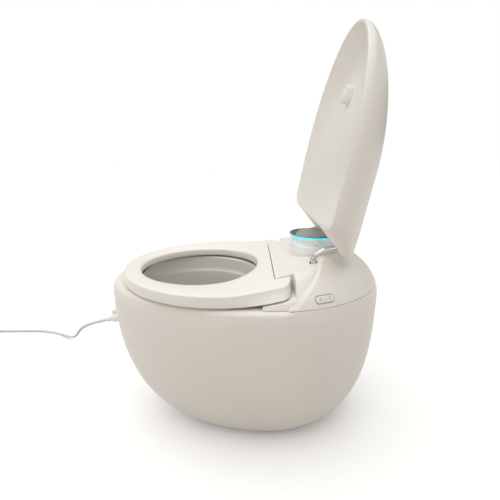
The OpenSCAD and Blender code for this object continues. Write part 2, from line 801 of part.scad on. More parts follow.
// Cross-section of the seat: share of the way out, distance inwards and drop from the top
seat_section = [[1, 3, 25], [1, 0, 20], [1, 0, 5], [1, 2, 1.2], [1, 6, 0],
    [0, 14, 0], [0, 7, 1.6], [0, 2, 5.5], [0, 0, 10], [0, 1, 14], [0, 30, 24], [1, 40, 25]];
function seat_point(a, s) =
    let (o = seat_outer(a), n = seat_inner(a), d = o - n, l = norm(d))
    let (p = s[0] == 1 ? o - d * s[1] / l : n + d * s[1] / l)
    [p.x, p.y, seat_z + seat_lift(p.x) - s[2] * seat_h / 25];

module seat() {
    color("ivory") difference() {
        skin_loop([for (s = seat_section)
            [for (i = [0:seat_sides - 1]) seat_point(360 * (i + 0.5) / seat_sides, s)]]);
        translate([split_x, -split_half_w, rim_z]) cube([past_end, 2 * split_half_w, past_top]);
        for (s = [-1, 1])
            bar_y(seat_axis_x, s * (split_half_w + 14), seat_axis_z, seat_pin_d, 30);
    }
}

module seat_pin(s) {
    color("silver") bar_y(seat_axis_x, s * (split_half_w + 2), seat_axis_z,
        seat_pin_d - 2 * pin_gap, 46);
}
module seat_pin_near() { seat_pin(-1); }
module seat_pin_far() { seat_pin(1); }

bumper_d = 18;
bumper_side = half_width - 55;
bumper_front_y = half_width - 95;
bumper_places = [[-262, bumper_front_y], [-262, -bumper_front_y],
    [-110, bumper_side], [-110, -bumper_side]];
module seat_bumpers() {
    color("dimgray") for (p = bumper_places)
        translate([p.x, p.y, rim_z + run_gap])
            cylinder(d = bumper_d, h = seat_z - seat_h - rim_z - run_gap);
}

// ---- Lid ----

lid_foot_x = 107;
lid_foot_z = 537;
lid_mid = 110;
lid_sides = 64;
lid_bulge_t = 9;
lid_top_pow = 2.1;
lid_low_pow = 7.5;
lid_dome_pow = 1.65;
lid_low_t = 84;
lid_side_slope = 0.86;
lid_mid_slope = 0.25;
// Lid coordinates to the open pose: y across, s up along the rim, t back into the dome
function lid_place(y, s, t) = [lid_foot_x + sin(lid_lean) * s + cos(lid_lean) * t, y,
    lid_foot_z + cos(lid_lean) * s - sin(lid_lean) * t];
function lid_share(t) = t <= lid_bulge_t ? 1
    : pow(max(0, 1 - pow((t - lid_bulge_t) / (lid_depth - lid_bulge_t), lid_dome_pow)),
        1 / lid_dome_pow);
function lid_low_share(t) = t <= lid_low_t ? 1
    : pow(max(0, 1 - pow((t - lid_low_t) / (lid_depth - lid_low_t), lid_dome_pow)),
        1 / lid_dome_pow);
// How fast the lid's lower wall runs down at a place across it
function lid_slope(y) = lid_mid_slope
    + (lid_side_slope - lid_mid_slope) * smooth((abs(y) - 74) / 58);
// How far across and along the lid's outline a direction reaches
function lid_way(a) =
    let (p = cos(a) > 0 ? lid_top_pow : lid_low_pow)
    let (r = pow(pow(abs(cos(a)), p) + pow(abs(sin(a)), p), -1 / p))
    [r * sin(a), r * cos(a)];
// A ring of the lid at depth t, drawn in by inset
function lid_ring(t, inset) = [for (i = [0:lid_sides - 1])
    let (a = 360 * i / lid_sides, up = cos(a) > 0, k = lid_share(t))
    let (way = lid_way(a), y = (lid_half_w * k - inset) * way.x)
    let (low = (lid_mid + lid_slope(y) * min(t, lid_low_t)) * lid_low_share(t) - inset)
    lid_place(y, lid_mid + (up ? (lid_len - lid_mid) * k - inset : low) * way.y, t)];
lid_depths = [0, 3, 12, 28, 46, 64, 84, 96, 106, 113, 117.5];
lid_inner_depths = [110.5, 107, 100, 90, 78, 60, 42, 24, 6, 0];
lip = 9;
arm_hole_z = lid_hinge_z + arm_bend;
arm_hole_len = 34;

module lid_shell() {
    color("linen") difference() {
        skin(concat(
            [[for (p = lid_ring(lid_depths[10], 0)) p]],
            [for (i = [9:-1:1]) lid_ring(lid_depths[i], 0)],
            [lid_ring(0, 1.5), lid_ring(0, lip)],
            [for (i = [8:-1:0]) lid_ring(lid_inner_depths[i], lip)]));
        for (s = [-1, 1])
            translate([lid_hinge_x + arm_bend, s * arm_y, arm_hole_z]) rotate([0, 90, 0])
                cylinder(d = arm_d + 2 * run_gap, h = arm_hole_len);
    }
}

// Inner dish: flush with the rim at the hinge end, deepest towards the tip
panel_shares = [1, 0.985, 0.95, 0.88, 0.76, 0.6, 0.42, 0.22];
panel_h = 3;
dish_rate = 0.12;
dish_pow = 5;
dish_mid = 190;
function panel_ring(k, lift) =
    [for (i = [0:lid_sides - 1])
        let (a = 360 * i / lid_sides, up = cos(a) > 0)
        let (way = lid_way(a), y = (lid_half_w - lip - 0.5) * way.x)
        let (s0 = lid_mid + ((up ? lid_len - lid_mid : lid_mid) - lip - 0.5) * way.y)
        let (s = dish_mid + (s0 - dish_mid) * k, deep = dish_rate * max(0, s) * (1 - pow(k, dish_pow)))
        lid_place(y * k, s, 1 + deep + lift)];

module lid_panel() {
    color("linen") skin(concat(
        [for (i = [7:-1:0]) panel_ring(panel_shares[i], panel_h)],
        [for (i = [0:7]) panel_ring(panel_shares[i], 0)]));
}

buffer_s = 283;
buffer_len = 50;
buffer_w = 26;
buffer_h = 18;
function dish_t(s) = 1 + dish_rate * s
    * (1 - pow(max(0, s - dish_mid) / (lid_len - lip - 0.5 - dish_mid), dish_pow));
module lid_buffer() {
    low_t = dish_t(buffer_s - buffer_len / 2);
    high_t = dish_t(buffer_s + buffer_len / 2);
    tilt = atan((high_t - low_t) / buffer_len);
    color("ivory") translate(lid_place(0, buffer_s, (low_t + high_t) / 2 - 2 * run_gap))
        rotate([0, lid_lean + tilt - 90, 0])
            linear_extrude(buffer_h) stadium(buffer_len, buffer_w);
}

// ---- Lid arms and hinges ----

eye_d = 12;
eye_w = 10;
ear_t = 2.4;
foot_depth = 10;
arm_end = lid_hinge_x + arm_bend + 26;

module lid_arm(s) {
    color("silver") difference() {
        union() {
            translate([lid_hinge_x + arm_bend, s * arm_y, lid_hinge_z]) rotate([90, 0, 0])
                intersection() {
                    rotate_extrude() translate([arm_bend, 0]) circle(d = arm_d);
                    translate([-2 * arm_bend, 0, -arm_d])
                        cube([2 * arm_bend, 2 * arm_bend, 2 * arm_d]);
                }
            translate([lid_hinge_x + arm_bend - 0.01, s * arm_y, lid_hinge_z + arm_bend])
                rotate([0, 90, 0]) cylinder(d = arm_d, h = arm_end - lid_hinge_x - arm_bend);
            bar_y(lid_hinge_x, s * arm_y, lid_hinge_z, eye_d, eye_w);
        }
        bar_y(lid_hinge_x, s * arm_y, lid_hinge_z, lid_pin_d, 40);
    }
}
module lid_arm_near() { lid_arm(-1); }
module lid_arm_far() { lid_arm(1); }

// A fork in the deck's slot: two ears on a base plate
module hinge_foot(s) {
    base_z = lid_hinge_z - slot_depth + run_gap;
    ear_y = eye_w / 2 + run_gap + ear_t / 2;
    color("silver") difference() {
        union() {
            translate([lid_hinge_x - 6, s * arm_y - slot_w / 2 + run_gap, base_z])
                cube([16, slot_w - 2 * run_gap, 3]);
            for (e = [-1, 1]) {
                bar_y(lid_hinge_x, s * arm_y + e * ear_y, lid_hinge_z, eye_d - 2, ear_t);
                translate([lid_hinge_x - 5, s * arm_y + e * ear_y - ear_t / 2, base_z])
                    cube([10, ear_t, lid_hinge_z - base_z]);
            }
        }
        bar_y(lid_hinge_x, s * arm_y, lid_hinge_z, lid_pin_d, 40);
    }
}
module hinge_foot_near() { hinge_foot(-1); }
module hinge_foot_far() { hinge_foot(1); }

module lid_pin(s) {
    color("lightgray") bar_y(lid_hinge_x, s * arm_y, lid_hinge_z, lid_pin_d - 2 * pin_gap, slot_w - 1);
}
module lid_pin_near() { lid_pin(-1); }
module lid_pin_far() { lid_pin(1); }

// ---- Cord ----

// The gland stands on the front of the tub and points the cord down and away
gland_from = [-372.5, -9, 268];
gland_to = [-414, -6, 256];
gland_r = 12.3;
gland_len = norm(gland_to - gland_from);
stem_r = 7;
cord_path = [
    [-414, -6, 256], [-432, -4, 250], [-450, 3, 243], [-470, 16, 232], [-492, 36, 217],
    [-516, 63, 198], [-541, 97, 175], [-567, 135, 149], [-594, 175, 121], [-621, 216, 92],
    [-649, 256, 64], [-678, 294, 40], [-709, 329, 21], [-742, 359, 9.5], [-778, 381, 5],
    [-818, 396, 4.6], [-862, 404, 4.6], [-910, 406, 4.6], [-960, 405, 4.6], [-1010, 404, 4.6],
    [-1050, 404, 4.6], [-1075, 404, 4.6]];
rings_per_leg = 3;
tube_sides = 8;
coil_at = [-1075, 404 - coil_r, 4.6];
coil_turns = 3;
coil_pitch = cord_d + 0.6;
coil_layer = cord_d + 0.6;
coil_steps = 24;
coil_sides = 6;
coil_tail = 56;

function unit(v) = v / norm(v);
// A smooth curve through the path's points
function on_leg(p, i, t) =
    let (a = p[max(0, i - 1)], b = p[i], c = p[i + 1], d = p[min(len(p) - 1, i + 2)])
    0.5 * (2 * b + (c - a) * t + (2 * a - 5 * b + 4 * c - d) * t * t
        + (3 * b - a - 3 * c + d) * t * t * t);
function smooth_path(p, n) = concat(
    [for (i = [0:len(p) - 2], j = [0:n - 1]) on_leg(p, i, j / n)], [p[len(p) - 1]]);
// Rings of a round tube along a path that never stands upright
function tube_rings(p, r, n, first, last) = [for (i = [0:len(p) - 1])
    let (f = i == 0 ? first : i == len(p) - 1 ? last : unit(p[i + 1] - p[i - 1]))
    let (u = unit(cross([0, 0, 1], f)), v = cross(f, u))
    [for (j = [0:n - 1]) let (a = -360 * (j + 0.5) / n) p[i] + r * (cos(a) * u + sin(a) * v)]];

module cord_run() {
    path = smooth_path(cord_path, rings_per_leg);
    color("white") skin(tube_rings(path, cord_d / 2, tube_sides,
        unit(gland_to - gland_from), [-1, 0, 0]));
}

function coil_point(u) =
    let (half = coil_turns / 2, a = 90 + 360 * u)
    let (r = coil_r - coil_pitch * (u < half ? u : coil_turns - u))
    let (z = coil_layer * smooth((u - half + 0.25) / 0.5))
    coil_at + [r * cos(a), r * sin(a), z];
coil_path = concat(
    [coil_at + [0, coil_r, 0], coil_at + [-1, coil_r, 0]],
    [for (i = [1:coil_turns * coil_steps - 1]) coil_point(i / coil_steps)],
    [coil_at + [-1, coil_r, coil_layer], coil_at + [-coil_tail, coil_r, coil_layer]]);

// Least gap of the coil to itself, between points more than one turn's eighth apart
coil_skip = coil_steps / 8;
coil_gap = min([for (i = [0:len(coil_path) - 1], j = [i + coil_skip:1:len(coil_path) - 1])
    if (j > i) norm(coil_path[i] - coil_path[j])]) - cord_d;
echo(coil_gap = coil_gap);

module cord_coil() {
    color("white") skin(tube_rings(coil_path, cord_d / 2, coil_sides, [-1, 0, 0], [-1, 0, 0]));
}

// Places children on the gland's seat in the tub, with +Z along the gland
module at_gland() {
    axis = unit(gland_to - gland_from);
    translate(gland_from) rotate([0, acos(axis.z), atan2(axis.y, axis.x)]) children();
}

// A boss on the tub, a cone and a collar, with a locking knob on its upper side
module cord_gland() {
    knob_r = 6.5;
    collar_r = cord_d / 2 + 2.6;
    color("white") at_gland() union() {
        rotate_extrude($fn = 32) polygon([[0, -16], [stem_r, -16], [stem_r, run_gap],
            [gland_r, run_gap], [gland_r, 24], [gland_r - 1.2, 27], [gland_r - 3.5, 29],
            [cord_d / 2 + 1.5, gland_len - 9], [collar_r, gland_len - 8],
            [collar_r, gland_len - 2], [cord_d / 2 + 1.2, gland_len], [0, gland_len]]);
        translate([-gland_r - knob_r / 2 + 1, 0, 8]) rotate_extrude($fn = 32)
            polygon([[0, 0], [knob_r - 1, 0], [knob_r, 1], [knob_r, 15], [knob_r - 2, 17.5],
                [0, 18.5]]);
    }
}

plug_at = coil_at + [-coil_tail, coil_r, coil_layer];
plug_len = 42;
plug_w = 34;
plug_h = 24;
plug_pin_d = 4.8;
plug_pin_gap = 19;
module plug_body() {
    color("white") translate([plug_at.x, plug_at.y, plug_at.z]) rotate([0, -90, 0])
        union() {
            rotate_extrude($fn = 32) polygon([[0, 0], [6.5, 0], [9.5, 16], [0, 16]]);
            translate([0, 0, 15]) linear_extrude(plug_len - 15) round_rect(plug_h, plug_w, 8);
        }
}
module plug_pins() {
    color("silver") for (s = [-1, 1])
        translate([plug_at.x - plug_len, plug_at.y + s * plug_pin_gap / 2, plug_at.z])
            rotate([0, -90, 0]) cylinder(d = plug_pin_d, h = 19);
}

tub_shell();
foot_pad();
bowl_liner();
flap_bracket();
flap_pin();
trap_flap();
compost_bin();
bin_cradle();
heater_pad();
shaft_bushes();
agitator();
drive_gear();
motor_bracket();
gear_motor();
motor_pinion();
vent_collar();
fan_housing();
fan_rotor();
control_board();
rear_deck();
rear_cover();
puck_pedestal();
light_ring();
puck_glass();
button_bezel();
button_front();
button_rear();
hinge_foot_near();
hinge_foot_far();
lid_pin_near();
lid_pin_far();
lid_arm_near();
lid_arm_far();
lid_shell();
lid_panel();
lid_buffer();
seat();
seat_pin_near();
seat_pin_far();
seat_bumpers();
cord_gland();
cord_run();
cord_coil();
plug_body();
plug_pins();
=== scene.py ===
from math import acos, atan2, cos, hypot, pi, radians, sin, sqrt

import bmesh
import bpy
from mathutils import Matrix, Vector


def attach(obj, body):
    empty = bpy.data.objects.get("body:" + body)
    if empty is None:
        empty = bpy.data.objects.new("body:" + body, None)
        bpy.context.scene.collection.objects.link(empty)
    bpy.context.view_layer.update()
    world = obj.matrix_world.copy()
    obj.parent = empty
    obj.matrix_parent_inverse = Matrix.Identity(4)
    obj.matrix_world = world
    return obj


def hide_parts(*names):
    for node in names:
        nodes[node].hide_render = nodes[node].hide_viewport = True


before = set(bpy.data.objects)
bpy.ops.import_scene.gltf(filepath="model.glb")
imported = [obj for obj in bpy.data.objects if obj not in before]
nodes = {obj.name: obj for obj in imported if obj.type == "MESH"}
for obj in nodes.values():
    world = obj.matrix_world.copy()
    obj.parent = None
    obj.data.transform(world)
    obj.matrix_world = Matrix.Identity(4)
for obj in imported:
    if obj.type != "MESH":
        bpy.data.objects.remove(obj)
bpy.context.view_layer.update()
scene = bpy.context.scene
scene.view_settings.view_transform = "Standard"

# All lengths below are millimetres, and are laid down in metres
MM = 0.001


def clamp(value, low=0.0, high=1.0):
    return min(high, max(low, value))


def ease(value):
    value = clamp(value)
    return value * value * (3 - 2 * value)


def circle(sides):
    return [2 * pi * i / sides for i in range(sides)]


# ---- Camera ----

CAMERA_PLACE, CAMERA_TILT = (-0.035, -0.8586, 0.6723), 14.857
CAMERA_LENS, CAMERA_SENSOR = 25.2, 36

bpy.ops.object.camera_add(location=CAMERA_PLACE, rotation=(radians(90 - CAMERA_TILT), 0, 0))
camera = bpy.context.object
camera.data.lens = CAMERA_LENS
camera.data.sensor_width = CAMERA_SENSOR
scene.camera = camera

# ---- Cord ----

CORD_D = 9
CORD_REST_Z = 4.6
CORD_EXIT = (-414, -6, 256)
CORD_ROUTE = [
    CORD_EXIT, (-432, -4, 250), (-450, 3, 243), (-470, 16, 232), (-492, 36, 217),
    (-516, 63, 198), (-541, 97, 175), (-567, 135, 149), (-594, 175, 121),
    (-621, 216, 92), (-649, 256, 64), (-678, 294, 40), (-709, 329, 21),
    (-742, 359, 9.5), (-778, 381, 5), (-818, 396, CORD_REST_Z),
    (-862, 404, CORD_REST_Z), (-910, 406, CORD_REST_Z), (-960, 405, CORD_REST_Z),
    (-1010, 404, CORD_REST_Z), (-1050, 404, CORD_REST_Z), (-1075, 404, CORD_REST_Z)]
COIL_R, COIL_TURNS, COIL_STEP = 59, 3, CORD_D + 0.6
COIL_MIDDLE = (-1075, 404 - COIL_R, CORD_REST_Z)
COIL_TAIL = (1, 12, 28, 42, 56)
POINTS_A_TURN = 36


def along_leg(points, i, t):
    """A point on the smooth curve through the points, between point i and the next."""
    a, b = Vector(points[max(0, i - 1)]), Vector(points[i])
    c, d = Vector(points[i + 1]), Vector(points[min(len(points) - 1, i + 2)])
    return (2 * b + (c - a) * t + (2 * a - 5 * b + 4 * c - d) * t * t
            + (3 * b - a - 3 * c + d) * t ** 3) / 2


def smooth_line(points, steps):
    line = [along_leg(points, i, j / steps)
            for i in range(len(points) - 1) for j in range(steps)]
    return line + [Vector(points[-1])]


def coil_point(turn):
    """A place in the coil, which winds in on the floor and out again on top."""
    half = COIL_TURNS / 2
    angle = pi / 2 + 2 * pi * turn
    r = COIL_R - COIL_STEP * (turn if turn < half else COIL_TURNS - turn)
    z = COIL_STEP * ease((turn - half + 0.25) / 0.5)
    return Vector(COIL_MIDDLE) + Vector((r * cos(angle), r * sin(angle), z))


def cord_line():
    start = Vector(COIL_MIDDLE) + Vector((0, COIL_R, 0))
    end = start + Vector((0, 0, COIL_STEP))
    route = smooth_line(CORD_ROUTE, 3) + [start + Vector((-1, 0, 0))]
    turns = [coil_point(i / POINTS_A_TURN) for i in range(1, COIL_TURNS * POINTS_A_TURN)]
    return route + turns + [end + Vector((-x, 0, 0)) for x in COIL_TAIL]


def tube_on_line(name, line, diameter, facets=4):
    data = bpy.data.curves.new(name, "CURVE")
    data.dimensions = "3D"
    data.bevel_depth = diameter / 2 * MM
    data.bevel_resolution = facets
    data.use_fill_caps = True
    spline = data.splines.new("POLY")
    spline.points.add(len(line) - 1)
    for point, place in zip(spline.points, line):
        point.co = (*(place * MM), 1)
    spline.use_smooth = True
    piece = bpy.data.objects.new(name, data)
    scene.collection.objects.link(piece)
    return piece


line = cord_line()
mains_cord = tube_on_line("mains_cord", line, CORD_D)
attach(mains_cord, "base")
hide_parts("cord_run", "cord_coil")

# ---- Finishes ----


class Nodes:
    """A node tree, each of whose nodes is made and linked in one call."""

    def __init__(self, tree):
        self.tree = tree

    def node(self, kind, inputs=(), **facts):
        node = self.tree.nodes.new(kind)
        for key, value in facts.items():
            setattr(node, key, value)
        for name, value in dict(inputs).items():
            if isinstance(value, bpy.types.NodeSocket):
                self.tree.links.new(value, node.inputs[name])
            else:
                node.inputs[name].default_value = value
        return node

    def maths(self, operation, *values):
        return self.node("ShaderNodeMath", dict(enumerate(values)),
                         operation=operation).outputs[0]

    def vector_maths(self, operation, *values):
        return self.node("ShaderNodeVectorMath", dict(enumerate(values)),
                         operation=operation).outputs

    def mix(self, share, below, above):
        """The colour below where the share is 0, and the one above where it is 1."""
        return self.node("ShaderNodeMix", {0: share, 6: below, 7: above},
                         data_type="RGBA").outputs[2]

    def seen(self):
        """1 for rays that look, straight, in a mirror or through glass, or else 0."""
        rays = self.node("ShaderNodeLightPath").outputs
        share = self.maths("MAXIMUM", rays["Is Camera Ray"], rays["Is Glossy Ray"])
        return self.maths("MAXIMUM", share, rays["Is Transmission Ray"])

    def ramp(self, value, stops):
        node = self.node("ShaderNodeValToRGB", {"Fac": value})
        points = node.color_ramp.elements
        while len(points) < len(stops):
            points.new(0.5)
        for point, (at, colour) in zip(points, stops):
            point.position = at
            point.color = (*colour, 1)
        return node.outputs["Color"]


class Finish(Nodes):
    """A material round one shader."""

    def __init__(self, name, colour, roughness):
        self.material = bpy.data.materials.new(name)
        self.material.use_nodes = True
        super().__init__(self.material.node_tree)
        self.shader = self.tree.nodes["Principled BSDF"]
        self.place = self.node("ShaderNodeTexCoord").outputs["Object"]
        self.set(**{"Base Color": (*colour, 1), "Roughness": roughness})

    def set(self, **sockets):
        for name, value in sockets.items():
            self.shader.inputs[name].default_value = value
        return self

    def link(self, output, socket):
        self.tree.links.new(output, self.shader.inputs[socket])

    def noise(self, scale, detail=3.0, place=None):
        return self.node("ShaderNodeTexNoise", {
            "Vector": place or self.place, "Scale": scale, "Detail": detail}).outputs["Fac"]

    def span(self, value, low, high, from_low=0.3, from_high=0.7):
        return self.node("ShaderNodeMapRange", {
            "Value": value, "From Min": from_low, "From Max": from_high,
            "To Min": low, "To Max": high}).outputs["Result"]

    def bump(self, height, strength, distance, below=None):
        inputs = {"Height": height, "Strength": strength, "Distance": distance}
        if below is not None:
            inputs["Normal"] = below
        return self.node("ShaderNodeBump", inputs).outputs["Normal"]

    def spot(self, at, half, soft):
        """1 inside an oval drawn from above at a place in x and y, and 0 outside."""
        away = self.vector_maths("SUBTRACT", self.place, (*at, 0))[0]
        even = self.vector_maths("MULTIPLY", away, (1 / half[0], 1 / half[1], 0))[0]
        far = self.vector_maths("LENGTH", even)["Value"]
        return self.span(far, 1.0, 0.0, soft, 1.0)

    def soft_edges(self, radius):
        return self.node("ShaderNodeBevel", {"Radius": radius}, samples=6).outputs["Normal"]


MOULDED_EDGE, METAL_EDGE, MOULDED_SHADE, MOULDED_GRAIN = 0.0006, 0.0004, 0.012, 900.0


def moulded(name, colour, roughness):
    """Moulded plastic: a breath of cloudiness, a fine grain and broken edges."""
    finish = Finish(name, colour, roughness)
    cloud = finish.noise(7.0, 2.0)
    darker = tuple(c * (1 - MOULDED_SHADE) for c in colour)
    paler = tuple(min(1.0, c * (1 + MOULDED_SHADE)) for c in colour)
    finish.link(finish.ramp(cloud, [(0.35, darker), (0.65, paler)]), "Base Color")
    uneven = finish.span(finish.noise(35.0), roughness * 0.92, roughness * 1.08)
    finish.link(uneven, "Roughness")
    grain = finish.noise(MOULDED_GRAIN, 2.0)
    finish.link(finish.bump(grain, 0.05, 0.0002, finish.soft_edges(MOULDED_EDGE)), "Normal")
    return finish.material


def metal(name, colour, roughness, brush=None):
    """Metal: mirror-like, or with fine brushing along an axis."""
    finish = Finish(name, colour, roughness).set(Metallic=1.0)
    streaks = finish.noise(60.0)
    if brush:
        stretched = finish.node("ShaderNodeMapping",
                                {"Vector": finish.place, "Scale": brush})
        streaks = finish.noise(1.0, 2.0, stretched.outputs["Vector"])
    tones = [(0.3, tuple(c * 0.94 for c in colour)), (0.7, colour)]
    finish.link(finish.ramp(streaks, tones), "Base Color")
    finish.link(finish.span(streaks, roughness * 0.85, roughness * 1.2), "Roughness")
    finish.link(finish.bump(streaks, 0.03, 0.0001, finish.soft_edges(METAL_EDGE)), "Normal")
    return finish.material


def rubber(name, colour, roughness=0.7):
    """Soft, dull moulding with a little dust on it."""
    finish = Finish(name, colour, roughness)
    dust = finish.noise(120.0, 4.0)
    paler = tuple(c * 1.25 + 0.01 for c in colour)
    finish.link(finish.ramp(dust, [(0.3, colour), (0.75, paler)]), "Base Color")
    finish.link(finish.span(dust, roughness * 0.9, roughness * 1.05), "Roughness")
    finish.link(finish.bump(finish.noise(1500.0), 0.15, 0.0002), "Normal")
    return finish.material


# How the bowl's grey goes from its outlet up to its rim, between two heights: painted
# shade, dark down in the bowl and below the ledge, paler towards the rim
BOWL_PAINTED_SHADES = [(0.0, (0.42, 0.40, 0.37)), (0.80, (0.57, 0.55, 0.51)),
               (0.84, (0.74, 0.72, 0.68)), (1.0, (0.76, 0.74, 0.70))]
BOWL_PAINTED_SHADE_LOW, BOWL_PAINTED_SHADE_HIGH = 0.24, 0.37


def bowl_glaze_with_painted_shade():
    """Grey moulding with painted shade that darkens it towards the outlet."""
    finish = Finish("grey bowl with painted shade", (0.6, 0.58, 0.54), 0.35)
    height = finish.node("ShaderNodeSeparateXYZ", {0: finish.place}).outputs["Z"]
    wavy = finish.maths("MULTIPLY_ADD", finish.noise(6.0, 2.0), 0.008, height)
    share = finish.span(wavy, 0.0, 1.0, BOWL_PAINTED_SHADE_LOW, BOWL_PAINTED_SHADE_HIGH)
    # Painted shade: the grey gets darker the deeper the bowl goes
    finish.link(finish.ramp(share, BOWL_PAINTED_SHADES), "Base Color")
    finish.link(finish.bump(finish.noise(MOULDED_GRAIN, 2.0), 0.05, 0.0002), "Normal")
    return finish.material


CREAM = (0.83, 0.795, 0.74)
# The tub's cream painted paler, as painted light, for the covers, the lid and the buttons
CREAM_PAINTED_PALER = (0.875, 0.845, 0.795)
tub_finish = moulded("satin cream tub", CREAM, 0.42)
cover_finish_painted_paler = moulded("satin cream covers painted paler", CREAM_PAINTED_PALER, 0.42)
seat_finish = moulded("pale cream seat", (0.89, 0.865, 0.82), 0.38)
# The lid's dish: the cream painted paler still, as painted light
dish_finish_painted_paler = moulded("cream lid dish painted paler", (0.91, 0.88, 0.835), 0.45)
white_finish = moulded("white moulding", (0.96, 0.95, 0.93), 0.35)
buffer_finish = moulded("soft white buffer", (0.9, 0.895, 0.88), 0.6)
seal_finish = rubber("grey button seal", (0.22, 0.21, 0.19))
chrome_finish = metal("polished chrome", (0.72, 0.73, 0.74), 0.07)


def board_finish():
    """Green lacquer over the tracks of a circuit board."""
    finish = Finish("lacquered board", (0.01, 0.12, 0.05), 0.3)
    tracks = finish.node("ShaderNodeTexBrick", {
        "Vector": finish.place, "Scale": 90.0, "Mortar Size": 0.035,
        "Color1": (0.008, 0.11, 0.045, 1), "Color2": (0.012, 0.14, 0.06, 1),
        "Mortar": (0.03, 0.24, 0.10, 1)})
    finish.link(tracks.outputs["Color"], "Base Color")
    finish.link(finish.bump(tracks.outputs["Fac"], 0.2, 0.0002), "Normal")
    return finish.material


GLOW_STRENGTH = 0.55


def glow_finish():
    """Cyan plastic that is lit from inside, a little unevenly."""
    finish = Finish("cyan light ring", (0.10, 0.75, 0.85), 0.35)
    spots = finish.noise(90.0, 2.0)
    for socket, dark, pale in (
            ("Base Color", (0.06, 0.80, 0.92), (0.12, 0.92, 1.0)),
            ("Emission Color", (0.10, 0.86, 0.96), (0.16, 0.95, 1.0))):
        finish.link(finish.ramp(spots, [(0.3, dark), (0.7, pale)]), socket)
    finish.set(**{"Emission Strength": GLOW_STRENGTH})
    return finish.material


# The signs on the glass, as place, half size and share of the half that is full, in metres
LENS_SPOT = ((0.1395, 0.037), (0.0085, 0.0075), 0.93)
LENS_COLOUR = (0.015, 0.015, 0.018, 1)
SIGN_SPOT = ((0.1225, -0.0135), (0.0075, 0.0024), 0.8)
SIGN_COLOUR = (0.06, 0.28, 0.65, 1)
SIGN_LIGHT, SIGN_STRENGTH = (0.1, 0.5, 1.0, 1), 0.35


def glass_finish():
    """Smoked glass with a dark lens and one small blue sign."""
    finish = Finish("smoked touch glass", (0.20, 0.195, 0.185), 0.12)
    haze = finish.noise(25.0, 2.0)
    smoke = finish.ramp(haze, [(0.3, (0.175, 0.17, 0.16)), (0.7, (0.22, 0.215, 0.205))])
    finish.link(finish.span(haze, 0.10, 0.18), "Roughness")
    finish.set(**{"Coat Weight": 0.6, "Coat Roughness": 0.05, "Emission Color": SIGN_LIGHT})
    lens, sign = finish.spot(*LENS_SPOT), finish.spot(*SIGN_SPOT)
    with_lens = finish.mix(lens, smoke, LENS_COLOUR)
    finish.link(finish.mix(sign, with_lens, SIGN_COLOUR), "Base Color")
    finish.link(finish.maths("MULTIPLY", sign, SIGN_STRENGTH), "Emission Strength")
    return finish.material


PIERCED_WHITE, PIERCED_CYAN = (0.95, 0.95, 0.94, 1), (0.4, 0.9, 0.94, 1)
PIERCED_LIGHT, PIERCED_STRENGTH = (0.2, 0.85, 0.95, 1), 0.45


def pierced_finish():
    """White moulding with fine holes that the light shows through."""
    finish = Finish("pierced moulding", (0.8, 0.8, 0.79), 0.45)
    holes = finish.node("ShaderNodeTexVoronoi", {"Vector": finish.place, "Scale": 420.0})
    share = finish.span(holes.outputs["Distance"], 1.0, 0.0, 0.14, 0.42)
    finish.link(finish.mix(share, PIERCED_WHITE, PIERCED_CYAN), "Base Color")
    finish.set(**{"Emission Color": PIERCED_LIGHT})
    finish.link(finish.maths("MULTIPLY", share, PIERCED_STRENGTH), "Emission Strength")
    return finish.material


BUTTON_INK, BUTTON_INK_SHARE = (0.16, 0.15, 0.14, 1), 0.55


def button_finish(name, at):
    """The covers' cream, painted paler as painted light, with one small grey ring on the
    button, as its sign.
    """
    finish = Finish(name, CREAM, 0.42)
    darker = tuple(c * (1 - MOULDED_SHADE) for c in CREAM_PAINTED_PALER)
    cloud = finish.ramp(finish.noise(7.0, 2.0), [(0.35, darker), (0.65, CREAM_PAINTED_PALER)])
    outside = finish.spot(at, (0.0026, 0.0022), 0.55)
    inside = finish.spot(at, (0.0012, 0.0010), 0.5)
    ring = finish.maths("SUBTRACT", outside, inside)
    share = finish.maths("MULTIPLY", ring, BUTTON_INK_SHARE)
    finish.link(finish.mix(share, cloud, BUTTON_INK), "Base Color")
    return finish.material


# Only for the nodes that no piece below replaces
NODE_FINISHES = {
    chrome_finish: ["hinge_foot_near", "hinge_foot_far"],
    rubber("white cord sheath", (0.80, 0.795, 0.78), 0.45): ["plug_body"],
    rubber("dark rubber foot", (0.05, 0.047, 0.043)): ["foot_pad", "seat_bumpers"],
    rubber("orange heater mat", (0.55, 0.13, 0.03), 0.6): ["heater_pad"],
    metal("brushed steel", (0.62, 0.62, 0.63), 0.3, brush=(40, 900, 900)): [
        "flap_bracket", "flap_pin", "agitator", "motor_bracket", "motor_pinion",
        "lid_pin_near", "lid_pin_far", "seat_pin_near", "seat_pin_far"],
    metal("turned bushes", (0.72, 0.55, 0.28), 0.28, brush=(700, 40, 700)): [
        "shaft_bushes"],
    metal("nickelled pins", (0.76, 0.73, 0.66), 0.22, brush=(40, 600, 600)): ["plug_pins"],
    moulded("black motor can", (0.035, 0.035, 0.04), 0.45): ["gear_motor"],
    moulded("black fan moulding", (0.02, 0.02, 0.022), 0.5): ["fan_housing", "fan_rotor"],
    moulded("dark bin", (0.045, 0.055, 0.052), 0.55): ["compost_bin", "bin_cradle"],
    moulded("grey flap", (0.08, 0.08, 0.08), 0.5): ["trap_flap"],
    moulded("ivory gear", (0.80, 0.77, 0.68), 0.4): ["drive_gear"],
    moulded("white vent", (0.88, 0.875, 0.86), 0.38): ["vent_collar"],
    board_finish(): ["control_board"],
}
for finish, names in NODE_FINISHES.items():
    for name in names:
        for slot in nodes[name].material_slots:
            slot.material = finish

# ---- Modelling ----


def only(piece):
    bpy.ops.object.select_all(action="DESELECT")
    piece.select_set(True)
    bpy.context.view_layer.objects.active = piece


